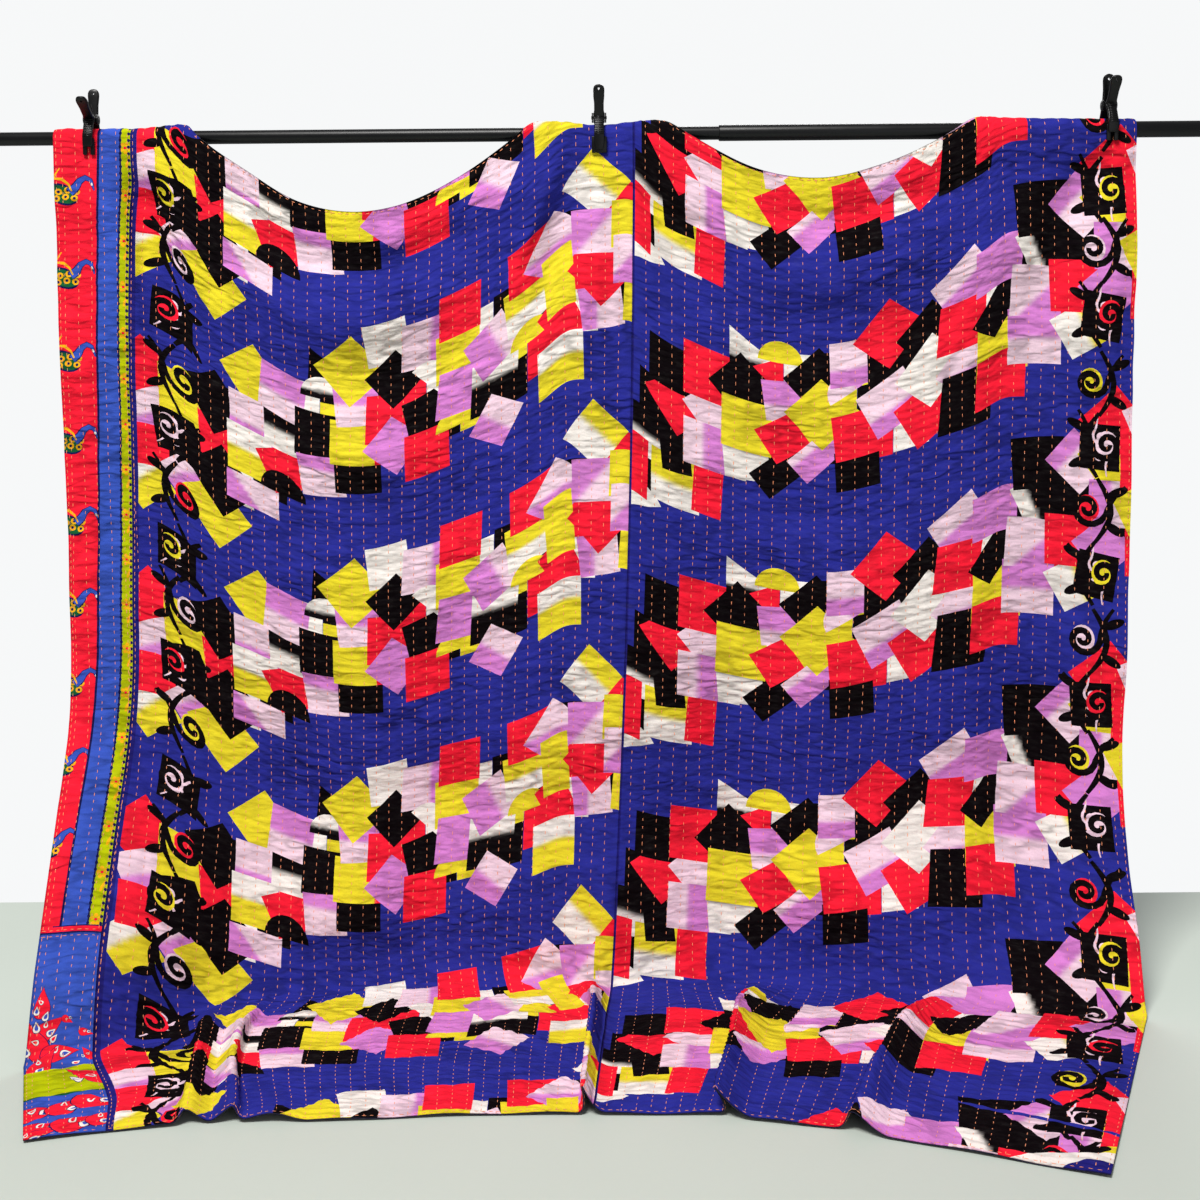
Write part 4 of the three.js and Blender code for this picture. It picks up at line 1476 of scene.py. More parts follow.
@dataclass
class Panel:
    """One cut piece of the quilt, triangulated along its print.

    Attributes:
        name: The piece's name.
        node: The solid that it stands for.
        slot: The record's material slot.
        drape: The hung cloth.
        chart: The print.
        left: Its left edge across, at places down.
        right: Its right edge.
        top: Its top edge.
        bottom: Its bottom edge.
        flat: Cut width and length in metres, not used.
        edge_pitch: Distance between points along edges.
        down_pitch: Distance between points down the printed side.
        per_channel: Points across from one row of stitches to the next.
        clear: How far the even points keep from edges.
        snap: Distance within which points become one.
        back_pitch: Distance between points down the back.
        front_puff: Swell of the printed side between the rows.
        hem_flat: Distance from the edge over which the swell grows.
        seam_flat: Distance from the edge over which the creases grow.
        rim: How far the edge's middle stands out.
        floor_clear: Least height above the floor.
    """

    name: str
    node: str
    slot: str
    drape: Drape
    chart: Chart
    left: Across
    right: Across
    top: float
    bottom: float
    flat: tuple[float, float]
    edge_pitch: float = 6.0
    down_pitch: float = 4.6
    per_channel: int = 3
    clear: float = 2.0
    snap: float = 0.01
    back_pitch: float = 15.0
    front_puff: float = 1.1
    hem_flat: float = 9.0
    seam_flat: float = 22.0
    rim: float = 0.25
    floor_clear: float = 0.15

    def inside(self, places: Array, margin: float) -> Array:
        """Which places lie on the piece, at least a margin from its edges.

        Args:
            places: Places across and down.
            margin: Least distance from the edges.

        Returns:
            One flag for each place.
        """
        s, t = places[:, 0], places[:, 1]
        across = (s > self.left(t) + margin) & (s < self.right(t) - margin)
        return across & (t > self.top + margin) & (t < self.bottom - margin)

    def edge_distance(self, s: Array, t: Array) -> Array:
        """Distance to the nearest edge."""
        sides = np.minimum(s - self.left(t), self.right(t) - s)
        return np.maximum(0.0, np.minimum(sides, np.minimum(t - self.top, self.bottom - t)))

    def outline(self) -> Array:
        """The piece's edge as a closed loop of points.

        Returns:
            One row of s and t for each point.
        """
        t = np.linspace(self.top, self.bottom, int((self.bottom - self.top) / self.edge_pitch))
        ends = []
        for at in (self.bottom, self.top):
            a, b = float(self.left(np.array(at))), float(self.right(np.array(at)))
            s = np.linspace(a, b, int((b - a) / self.edge_pitch))[1:-1]
            ends.append(np.stack([s, np.full_like(s, at)], 1))
        down = np.stack([self.left(t), t], 1)
        up = np.stack([self.right(t), t], 1)[::-1]
        return np.vstack([down, ends[0], up, ends[1][::-1]])

    def motif_edges(self) -> list[Array]:
        """Each motif's edge near the piece as a closed loop of close points.

        Returns:
            The loops.
        """
        loops = []
        for motif in self.chart.motifs:
            low, high = motif.outline.min(0), motif.outline.max(0)
            if high[1] < self.top or low[1] > self.bottom:
                continue
            span = np.array([low[1], (low[1] + high[1]) / 2, high[1]])
            if high[0] < self.left(span).min() or low[0] > self.right(span).max():
                continue
            points = []
            for a, b in zip(motif.outline, np.roll(motif.outline, -1, 0)):
                cuts = max(1, int(np.linalg.norm(b - a) / self.edge_pitch))
                points.append(a + (b - a) * (np.arange(cuts) / cuts)[:, None])
            loops.append(np.vstack(points))
        return loops

    def grid(self, across: float, down: float, loops: Sequence[Array]) -> Array:
        """Even points on the piece that keep clear of its edges and of the motifs' edges.

        Args:
            across: Distance between points across.
            down: Distance between points down.
            loops: The edges to keep clear of.

        Returns:
            One row of s and t for each point.
        """
        first = self.drape.first_row
        s = first + across * np.arange(math.floor(-first / across), math.ceil(self.drape.width / across) + 1)
        t = np.arange(self.top + down / 2, self.bottom, down)
        places = np.stack(np.meshgrid(s, t, indexing="ij"), 2).reshape(-1, 2)
        places[:, 0] += self.drape.wobble(places[:, 0], places[:, 1])
        places = places[self.inside(places, self.clear)]
        if not loops:
            return places
        cell = self.clear
        marked = np.zeros((int(self.drape.width / cell) + 40, int(self.drape.length / cell) + 40), bool)
        for loop in loops:
            steps = np.concatenate([loop + (np.roll(loop, -1, 0) - loop) * f for f in (0, 0.25, 0.5, 0.75)])
            at = np.round(steps / cell).astype(int) + 10
            keep = ((at >= 0) & (at < marked.shape)).all(1)
            marked[at[keep, 0], at[keep, 1]] = True
        at = np.round(places / cell).astype(int) + 10
        return places[~marked[at[:, 0], at[:, 1]]]

    @staticmethod
    def triangulate(loops: Sequence[Array], free: Array, snap: float) -> tuple[Array, Array, list]:
        """Triangles over loops and free points.

        Args:
            loops: Closed loops that become edges.
            free: Points between them.
            snap: Distance within which points become one.

        Returns:
            Points, triangles and the given points behind each point.
        """
        edges = []
        start = 0
        for loop in loops:
            ids = np.arange(start, start + len(loop))
            edges.extend(zip(ids.tolist(), np.roll(ids, -1).tolist()))
            start += len(loop)
        given = np.vstack([*loops, free])
        made = delaunay_2d_cdt([Vector(p) for p in given.tolist()], edges, [], 0, snap, True)
        points = np.array([tuple(p) for p in made[0]])
        faces = np.array([f for f in made[2] if len(f) == 3])
        return points, faces, made[3]

    def enclosed(self, points: Array, faces: Array, ring: Array) -> Array:
        """Which triangles lie in a ring, told by its edges where they touch it and else by their middles.

        Args:
            points: Flat places of the points.
            faces: Triangles over them.
            ring: The points round the piece, in the triangles' own direction.

        Returns:
            One flag for each triangle.
        """
        count, ahead = len(points), np.roll(ring, -1)
        sides = faces * count + np.roll(faces, -1, 1)
        touching = np.isin(sides, ring * count + ahead).any(1)
        beyond = np.isin(sides, ahead * count + ring).any(1)
        return (touching | self.inside(points[faces].mean(1), 0.0)) & ~beyond

    @staticmethod
    def border_of(faces: Array) -> Array:
        """The loop of points round a set of triangles, in the triangles' own direction.

        Args:
            faces: The triangles.

        Returns:
            The points of the loop in order.
        """
        a = np.concatenate([faces[:, 0], faces[:, 1], faces[:, 2]])
        b = np.concatenate([faces[:, 1], faces[:, 2], faces[:, 0]])
        both = set(zip(a.tolist(), b.tolist()))
        following = {i: j for i, j in both if (j, i) not in both}
        loop = [next(iter(following))]
        while following[loop[-1]] != loop[0]:
            loop.append(following[loop[-1]])
        return np.array(loop)

    def surface(self, s: Array, t: Array, side: float) -> Array:
        """Points of the finished cloth in metres.

        Args:
            s: Places across.
            t: Places down.
            side: 1 for the printed side, -1 for the back, 0 for the middle.

        Returns:
            One row of x, y, z for each place.
        """
        drape = self.drape
        from_edge = self.edge_distance(s, t)
        puff = drape.channel(s, t) * smooth(from_edge, 1.0, self.hem_flat)
        room = self.front_puff if side > 0 else drape.back_puff
        edge = drape.crease(s, t, False) + drape.backing_sink * drape.free(drape.line(s, t))
        relief = drape.crease(s, t, side > 0) - edge
        off = edge + relief * smooth(from_edge, 0.0, self.seam_flat)
        off = off + side * (drape.half_thick + room * puff)
        where = drape.middle(s, t) + drape.normal(s, t) * off[:, None]
        where[:, 2] = np.maximum(where[:, 2], self.floor_clear)
        return where * MM

    def build(self, front: bpy.types.Material, back: bpy.types.Material) -> bpy.types.Object:
        """Args:
            front: Finish of the printed side.
            back: Finish of the back and the cut edge.

        Returns:
            The finished piece.
        """
        edge = self.outline()
        motifs = self.motif_edges()
        fine = self.grid(self.drape.row_pitch / self.per_channel, self.down_pitch, [edge, *motifs])
        points, faces, _ = self.triangulate([edge, *motifs], fine, self.snap)
        faces = faces[self.inside(points[faces].mean(1), 0.0)]
        used, faces = np.unique(faces, return_inverse=True)
        points, faces = points[used], faces.reshape(-1, 3)
        ring = self.border_of(faces)
        coarse = self.grid(self.drape.row_pitch / 2, self.back_pitch, [points[ring]])
        rear, rear_faces, origins = self.triangulate([points[ring]], coarse, self.snap / 100)
        met = {given: k for k, given_list in enumerate(origins) for given in given_list}
        rear_ring = np.array([met[k] for k in range(len(ring))])
        rear_faces = rear_faces[self.enclosed(rear, rear_faces, rear_ring)]

        n, m, r = len(points), len(rear), len(ring)
        out = points[np.roll(ring, -1)] - points[np.roll(ring, 1)]
        out = np.stack([out[:, 1], -out[:, 0]], 1) / np.linalg.norm(out, axis=1, keepdims=True)
        mid = points[ring] + out * self.rim
        flat = np.vstack([points, rear, mid])
        where = np.vstack([
            self.surface(points[:, 0], points[:, 1], 1.0), self.surface(rear[:, 0], rear[:, 1], -1.0),
            self.surface(mid[:, 0], mid[:, 1], 0.0),
        ])
        ahead = np.roll(np.arange(r), -1)
        rim_ids = n + m + np.arange(r)
        quads = [
            np.stack([ring, rim_ids, rim_ids[ahead], ring[ahead]], 1),
            np.stack([rim_ids, n + rear_ring, n + rear_ring[ahead], rim_ids[ahead]], 1),
        ]
        polygons = np.vstack([faces[:, ::-1], rear_faces + n]).tolist() + np.vstack(quads).tolist()
        mesh = bpy.data.meshes.new(self.name)
        mesh.from_pydata(where.tolist(), [], polygons)
        mesh.polygons.foreach_set("use_smooth", np.ones(len(polygons), bool))
        slots = np.concatenate([np.zeros(len(faces), int), np.ones(len(polygons) - len(faces), int)])
        mesh.polygons.foreach_set("material_index", slots.astype(np.int32))
        self.write_attributes(mesh, flat, points, faces, n)
        mesh.materials.append(front)
        mesh.materials.append(back)
        return declare(linked(self.name, mesh), self.slot, self.node)

    def write_attributes(
        self, mesh: bpy.types.Mesh, flat: Array, points: Array, faces: Array, front: int,
    ) -> None:
        """Store the print's colours, the flat places and a map of both sides.

        Args:
            mesh: The piece's mesh.
            flat: Flat place of each point.
            points: Flat places of the printed side.
            faces: Triangles of the printed side.
            front: How many points the printed side has.
        """
        corners = points[faces[:, ::-1]]
        shown = self.chart.dress(corners.mean(1), corners).reshape(-1, 4)
        colours = np.tile(Ink.BACK.linear, (len(mesh.loops), 1))
        colours[: len(shown)] = shown
        mesh.color_attributes.new("print", "FLOAT_COLOR", "CORNER").data.foreach_set("color", colours.ravel())
        places = np.stack([flat[:, 0], self.drape.level(*flat.T), np.zeros(len(flat))], 1) * MM
        mesh.attributes.new("flat", "FLOAT_VECTOR", "POINT").data.foreach_set("vector", places.ravel())
        ids = np.empty(len(mesh.loops), np.int32)
        mesh.loops.foreach_get("vertex_index", ids)
        low, size = flat.min(0), np.ptp(flat, axis=0)
        unit = (flat - low) / size.max()
        unit[front:, 0] += size[0] / size.max() * 1.02
        unit /= unit.max(0)
        mesh.uv_layers.new(name="OFBake").uv.foreach_set("vector", unit[ids].ravel())


# Repeats: stitches, ribs and wire


class Bead(Enum):
    """Shapes that a repeat sets on its points."""

    LOZENGE = "GeometryNodeMeshIcoSphere"
    BAR = "GeometryNodeMeshCylinder"


class Tree:
    """Geometry Nodes with a size and a finish to set, which end in a plain painted mesh."""

    def __init__(self, name: str, size: str, kind: str) -> None:
        """Start the tree.

        Args:
            name: The tree's name.
            size: Name of the input that sets its size.
            kind: Type of that input.
        """
        self.group = bpy.data.node_groups.new(name, "GeometryNodeTree")
        self.group.is_modifier = True
        face = self.group.interface
        face.new_socket("Geometry", in_out="INPUT", socket_type="NodeSocketGeometry")
        self.size = face.new_socket(size, in_out="INPUT", socket_type=kind).identifier
        self.finish = face.new_socket("Finish", in_out="INPUT", socket_type="NodeSocketMaterial").identifier
        face.new_socket("Geometry", in_out="OUTPUT", socket_type="NodeSocketGeometry")
        self.given = self.add("NodeGroupInput").outputs

    def add(self, kind: str, **links: bpy.types.NodeSocket) -> bpy.types.Node:
        """Add one node and link its inputs, with underscores for the spaces in their names.

        Args:
            kind: Type of the node.
            links: The socket that feeds each input.

        Returns:
            The node.
        """
        made = self.group.nodes.new(kind)
        for name, source in links.items():
            self.group.links.new(source, made.inputs[name.replace("_", " ")])
        return made

    def end(self, shape: bpy.types.NodeSocket) -> None:
        """Make the result real, smooth and painted.

        Args:
            shape: The result so far.
        """
        real = self.add("GeometryNodeRealizeInstances", Geometry=shape)
        shaded = self.add("GeometryNodeSetShadeSmooth", Geometry=real.outputs[0])
        painted = self.add(
            "GeometryNodeSetMaterial", Geometry=shaded.outputs[0], Material=self.given["Finish"])
        self.add("NodeGroupOutput", Geometry=painted.outputs[0])

    def run(self, piece: bpy.types.Object, size: Any, finish: bpy.types.Material) -> bpy.types.Object:
        """Run the tree on a piece and keep the plain mesh.

        Args:
            piece: The points or the line that it works on.
            size: The value of its size.
            finish: Its material.

        Returns:
            The same piece.
        """
        modifier = piece.modifiers.new(self.group.name, "NODES")
        modifier.node_group = self.group
        modifier[self.size] = size
        modifier[self.finish] = finish
        settle(piece)
        return piece


class Repeat(Tree):
    """A tree that sets one shape on points, turned by their own directions."""

    def __init__(self, bead: Bead) -> None:
        """Build the tree.

        Args:
            bead: The shape that it repeats.
        """
        super().__init__(f"repeat_{bead.name.lower()}", "Size", "NodeSocketVector")
        shape = self.add(bead.value)
        shape.inputs["Radius"].default_value = 0.5
        if bead is Bead.BAR:
            shape.inputs["Vertices"].default_value = 10
            shape.inputs["Depth"].default_value = 1.0
        else:
            shape.inputs["Subdivisions"].default_value = 1
        sized = self.add("GeometryNodeTransform", Geometry=shape.outputs[0], Scale=self.given["Size"])
        along, outward = self.read("along"), self.read("outward")
        turn = self.add("FunctionNodeAxesToRotation", Primary_Axis=along, Secondary_Axis=outward)
        turn.primary_axis, turn.secondary_axis = "Z", "X"
        spread = self.add(
            "GeometryNodeInstanceOnPoints", Points=self.given["Geometry"], Instance=sized.outputs[0],
            Rotation=turn.outputs[0], Scale=self.read("scale"))
        self.end(spread.outputs[0])

    def read(self, name: str) -> bpy.types.NodeSocket:
        """Read a vector attribute of the points.

        Args:
            name: The attribute's name.

        Returns:
            Its socket.
        """
        node = self.add("GeometryNodeInputNamedAttribute")
        node.data_type = "FLOAT_VECTOR"
        node.inputs["Name"].default_value = name
        return node.outputs[0]

    def lay(
        self, name: str, places: Array, along: Array, outward: Array, scale: Array,
        size: Sequence[float], finish: bpy.types.Material,
    ) -> bpy.types.Object:
        """Set the shape on points.

        Args:
            name: The piece's name.
            places: Points in metres.
            along: Direction of the shape's length at each point.
            outward: Direction of its thickness at each point.
            scale: Share of its size at each point.
            size: Thickness, width and length in metres.
            finish: Its material.

        Returns:
            The finished piece.
        """
        seeds = bpy.data.meshes.new(f"{name}_points")
        seeds.from_pydata(places.tolist(), [], [])
        for key, values in (("along", along), ("outward", outward), ("scale", scale)):
            seeds.attributes.new(key, "FLOAT_VECTOR", "POINT").data.foreach_set("vector", values.ravel())
        return self.run(linked(name, seeds), tuple(size), finish)


class WireRun(Tree):
    """A tree that draws round wire along a line of points."""

    def __init__(self) -> None:
        """Build the tree."""
        super().__init__("wire_run", "Radius", "NodeSocketFloat")
        line = self.add("GeometryNodeMeshToCurve", Mesh=self.given["Geometry"])
        ring = self.add("GeometryNodeCurvePrimitiveCircle", Radius=self.given["Radius"])
        ring.inputs["Resolution"].default_value = 8
        drawn = self.add("GeometryNodeCurveToMesh", Curve=line.outputs[0], Profile_Curve=ring.outputs[0])
        drawn.inputs["Fill Caps"].default_value = True
        self.end(drawn.outputs[0])

    def lay(self, name: str, path: Array, radius: float, finish: bpy.types.Material) -> bpy.types.Object:
        """Draw wire along a path.

        Args:
            name: The piece's name.
            path: Points in metres.
            radius: The wire's radius in metres.
            finish: Its material.

        Returns:
            The finished piece.
        """
        line = bpy.data.meshes.new(f"{name}_line")
        line.from_pydata(path.tolist(), [(k, k + 1) for k in range(len(path) - 1)], [])
        return self.run(linked(name, line), radius, finish)


@dataclass
class Stitching:
    """Rows of running stitches through a panel, seen on both sides.

    Attributes:
        panel: The piece of cloth.
        seed: Start of the random draws.
        length: Length of a stitch.
        wide: Its width.
        high: Its thickness.
        sink: How far it sinks into the cloth.
        stray: How far a stitch strays along its row.
        hem_in: Distance of the hem's stitches from the top and bottom edges.
        edge_in: Distance of the edge stitches from the side edges.
        closer: Pitch of both, as a share of the rows' pitch.
        row_clear: How far the rows keep from the edges.
        clear: How far each stitch keeps from them.
        lengths: Range of the stitches' lengths, as shares.
        widths: Range of their widths, as shares.
        span: Share of a stitch over which it follows the cloth.
    """

    panel: Panel
    seed: int
    length: float = 8.2
    wide: float = 1.25
    high: float = 0.9
    sink: float = 0.15
    stray: float = 1.6
    hem_in: float = 5.5
    edge_in: float = 5.0
    closer: float = 0.82
    row_clear: float = 4.0
    clear: float = 3.5
    lengths: tuple = (0.82, 1.15)
    widths: tuple = (0.9, 1.15)
    span: float = 0.42

    @property
    def pitch(self) -> float:
        """Distance from one stitch to the next."""
        return self.panel.drape.stitch_pitch

    def rows(self) -> Array:
        """Places of all stitches on the printed side: s, t, and their direction along s and t.

        Returns:
            One row for each stitch.
        """
        drape, panel = self.panel.drape, self.panel
        rng = np.random.default_rng(self.seed)
        found = []
        for row, s0 in enumerate(np.arange(drape.first_row, drape.width, drape.row_pitch)):
            t = np.arange(float(drape.stitch_start(np.array(row))), panel.bottom - 5, self.pitch)
            t = t + rng.uniform(-self.stray, self.stray, len(t))
            s = s0 + drape.wobble(np.full_like(t, s0), t)
            found.append(np.stack([s, t, np.zeros_like(t), np.ones_like(t)], 1))
        for at in (panel.top + self.hem_in, panel.bottom - self.hem_in):
            a, b = float(panel.left(np.array(at))), float(panel.right(np.array(at)))
            s = np.arange(a + 8, b - 6, self.pitch * self.closer) + rng.uniform(-1, 1)
            found.append(np.stack([s, np.full_like(s, at), np.ones_like(s), np.zeros_like(s)], 1))
        for edge, inward in ((panel.left, self.edge_in), (panel.right, -self.edge_in)):
            if abs(float(edge(np.array(0.0))) - drape.centre_seam) < 1:
                continue
            t = np.arange(panel.top + 10, panel.bottom - 8, self.pitch * self.closer)
            found.append(np.stack([edge(t) + inward, t, np.zeros_like(t), np.ones_like(t)], 1))
        rows = np.vstack(found)
        return rows[panel.inside(rows[:, :2], self.row_clear)]

    def sew(self, repeat: Repeat, thread: bpy.types.Material) -> list[bpy.types.Object]:
        """Lay the stitches of both sides.

        Args:
            repeat: The tree that sets them.
            thread: Their finish.

        Returns:
            The stitches of the front and of the back.
        """
        rows = self.rows()
        rng = np.random.default_rng(self.seed + 50)
        pieces = []
        for side, word in ((1.0, "front"), (-1.0, "back")):
            way = rows[:, 2:]
            here = rows[:, :2] + (0 if side > 0 else self.pitch / 2) * way
            keep = self.panel.inside(here, self.clear)
            here, way = here[keep], way[keep]
            size = rng.uniform(*self.lengths, len(here))
            reach = self.length * self.span
            ends = [self.panel.surface(*(here + way * d).T, side) for d in (-reach, reach)]
            along = ends[1] - ends[0]
            along /= np.linalg.norm(along, axis=1, keepdims=True)
            outward = self.panel.drape.normal(*here.T) * side
            centre = (ends[0] + ends[1]) / 2 * 0.5 + self.panel.surface(*here.T, side) * 0.5
            centre = centre + outward * (self.high / 2 - self.sink) * MM
            scale = np.stack([np.ones_like(size), rng.uniform(*self.widths, len(size)), size], 1)
            full = (self.high * MM, self.wide * MM, self.length * MM)
            name = f"{self.panel.name}_stitches_{word}"
            piece = repeat.lay(name, centre, along, outward, scale, full, thread)
            pieces.append(declare(piece, self.panel.slot))
        return pieces


@dataclass
class Quilt:
    """The sewn quilt: four printed pieces and their stitches.

    Attributes:
        drape: The hung cloth.
        selvedge: Width of the plain strip beside the border seam.
        seam_strip: Width of the plain strip beside the centre seam.
        cut: Half of the gap between two pieces.
        overrun: How far strips are printed past the edges.
        print_in: Distance of the print from the centre seam.
        left_from: Where the left print starts across.
        lower_line: A thin stripe low on the right piece.
        leaf: The bare pale leaf in the lower right corner.
    """

    drape: Drape
    selvedge: float = 13.0
    seam_strip: float = 4.5
    cut: float = 0.06
    overrun: float = 20.0
    print_in: float = 6.0
    left_from: float = 160.0
    lower_line: tuple = ((1690, 2012), (1800, 2040), (1960, 2075), (2170, 2096))
    leaf: tuple = ((1985, 2206), (2030, 2176), (2090, 2160), (2150, 2140), (2150, 2210))

    def before_seam(self, t: Array) -> Array:
        """The edge left of the border seam."""
        return self.drape.seam_at(t) - self.cut

    def full_strip(self, left: Across, right: Across) -> Array:
        """A strip that runs past both ends of the cloth."""
        return strip(left, right, -self.overrun, self.drape.length + self.overrun)

    def main_left(self) -> Panel:
        """The printed length left of the centre seam.

        Returns:
            The panel.
        """
        drape = self.drape
        chart = Chart(Ink.INDIGO)
        garlands = TumbledPrint(
            self.left_from, drape.centre_seam - self.print_in, vine_side=-1, phase=0.7, climb=340.0, seed=21)
        garlands.print_on(chart, drape.length)
        edge = self.full_strip(
            lambda t: drape.seam_at(t) - self.overrun, lambda t: drape.seam_at(t) + self.selvedge)
        chart.add(edge, Ink.SELVEDGE)
        return Panel(
            "main_cloth_left", "main_panel_left", "main_print", drape, chart,
            left=lambda t: drape.seam_at(t) + self.cut,
            right=lambda t: np.full_like(t, drape.centre_seam - self.cut, float),
            top=0.0, bottom=drape.length, flat=(1.02, 2.2))

    def main_right(self) -> Panel:
        """The printed length right of the centre seam.

        Returns:
            The panel.
        """
        drape, seam = self.drape, self.drape.centre_seam
        chart = Chart(Ink.INDIGO)
        garlands = TumbledPrint(
            seam + self.print_in, drape.width, vine_side=1, phase=2.3, climb=330.0, seed=34)
        garlands.print_on(chart, drape.length)
        edge = self.full_strip(lambda t: seam - 9 + 0 * t, lambda t: seam + self.seam_strip + 0 * t)
        chart.add(edge, Ink.SELVEDGE)
        chart.add(ribbon(np.array(self.lower_line, float), (4, 8, 8, 8)), Ink.INDIGO)
        chart.add(np.array(self.leaf, float), Ink.WHITE)
        chart.add(placed(oval(110, 66), (2120, 2206), -14), Ink.SELVEDGE)
        return Panel(
            "main_cloth_right", "main_panel_right", "main_print", drape, chart,
            left=lambda t: np.full_like(t, seam + self.cut, float),
            right=lambda t: np.full_like(t, drape.width, float),
            top=0.0, bottom=drape.length, flat=(0.981, 2.2))

    def border(self) -> Panel:
        """The narrow border at the left.

        Returns:
            The panel.
        """
        drape = self.drape
        chart = Chart(Ink.RED)
        BorderPrint(drape).print_on(chart)
        return Panel(
            "border_cloth", "border_panel", "border_print", drape, chart,
            left=lambda t: np.zeros_like(t, float), right=self.before_seam,
            top=0.0, bottom=drape.corner_top - self.cut, flat=(0.132, 1.7))

    def corner(self) -> Panel:
        """The patch below the border.

        Returns:
            The panel.
        """
        drape = self.drape
        chart = Chart(Ink.BLUE)
        CornerPrint().print_on(chart)
        return Panel(
            "corner_cloth", "corner_panel", "corner_print", drape, chart,
            left=lambda t: np.zeros_like(t, float), right=self.before_seam,
            top=drape.corner_top + self.cut, bottom=drape.length, flat=(0.12, 0.5))

    def build(self) -> None:
        """Make the pieces, sew them and declare each."""
        front, back = PrintedCotton().material(), BackingCotton().material()
        thread = StitchThread().material()
        repeat = Repeat(Bead.LOZENGE)
        for seed, panel in enumerate((self.main_left(), self.main_right(), self.border(), self.corner())):
            piece = panel.build(front, back)
            stitches = Stitching(panel, 70 + seed).sew(repeat, thread)


# Rod and clips


class Shell:
    """Closed surfaces gathered into one mesh, in millimetres."""

    def __init__(self) -> None:
        """Start empty."""
        self.points: list[Array] = []
        self.faces: list[list[int]] = []
        self.count = 0

    def _take(self, points: Array, faces: list[list[int]]) -> None:
        """Add points and the faces between them.

        Args:
            points: The points.
            faces: Their numbers round each face.
        """
        self.points.append(points)
        self.faces += [[self.count + k for k in face] for face in faces]
        self.count += len(points)

    def swept(self, sections: Array) -> None:
        """Add a body through closed sections, with both ends closed.

        Args:
            sections: Points by section, then round each section.
        """
        rows, sides = sections.shape[:2]
        faces = []
        for k in range(rows - 1):
            for i in range(sides):
                a, b = k * sides + i, k * sides + (i + 1) % sides
                faces.append([a, b, b + sides, a + sides])
        last = (rows - 1) * sides
        faces += [list(range(sides))[::-1], [last + i for i in range(sides)]]
        self._take(sections.reshape(-1, 3), faces)

    def turned(self, profile: Sequence[tuple[float, float]], at: Sequence[float], sides: int = 48) -> None:
        """Add a body turned about an axis along X.

        Args:
            profile: Rows of place along the axis and radius.
            at: A point of the axis.
            sides: Faces round the axis.
        """
        a = 2 * math.pi * np.arange(sides) / sides
        ring = np.stack([0 * a, np.cos(a), np.sin(a)], 1)
        self.swept(np.array([(x, 0, 0) + ring * radius for x, radius in profile]) + np.array(at))

    def mesh(self, name: str) -> bpy.types.Mesh:
        """The gathered surfaces as one mesh, its faces outwards.

        Args:
            name: The mesh's name.

        Returns:
            The mesh.
        """
        mesh = bpy.data.meshes.new(name)
        mesh.from_pydata((np.vstack(self.points) * MM).tolist(), [], self.faces)
        edit = bmesh.new()
        edit.from_mesh(mesh)
        bmesh.ops.recalc_face_normals(edit, faces=edit.faces)
        edit.to_mesh(mesh)
        edit.free()
        return mesh

    def piece(self, name: str, finish: bpy.types.Material) -> bpy.types.Object:
        """Make a smooth piece that keeps its sharp edges.

        Args:
            name: The piece's name.
            finish: Its material.

        Returns:
            The piece, not yet declared.
        """
        mesh = self.mesh(name)
        mesh.polygons.foreach_set("use_smooth", np.ones(len(mesh.polygons), bool))
        mesh.set_sharp_from_angle(angle=SHARP)
        mesh.materials.append(finish)
        return linked(name, mesh)


def eased_box(wide: float, thick: float, corner: float, steps: int = 5) -> Array:
    """A rectangle with round corners, as x and off points.

    Args:
        wide: Its width.
        thick: Its thickness.
        corner: Radius of a corner.
        steps: Points round a corner.

    Returns:
        One row of x and off for each point.
    """
    a = np.linspace(0, math.pi / 2, steps)
    arc = np.stack([np.cos(a), np.sin(a)], 1) * corner
    turns = ((1, 1), (-1, 1), (-1, -1), (1, -1))
    sides = []
    for k, (sx, sy) in enumerate(turns):
        quarter = arc * (sx, sy) + np.array([sx * (wide / 2 - corner), sy * (thick / 2 - corner)])
        sides.append(quarter if k % 2 == 0 else quarter[::-1])
    return np.vstack(sides)


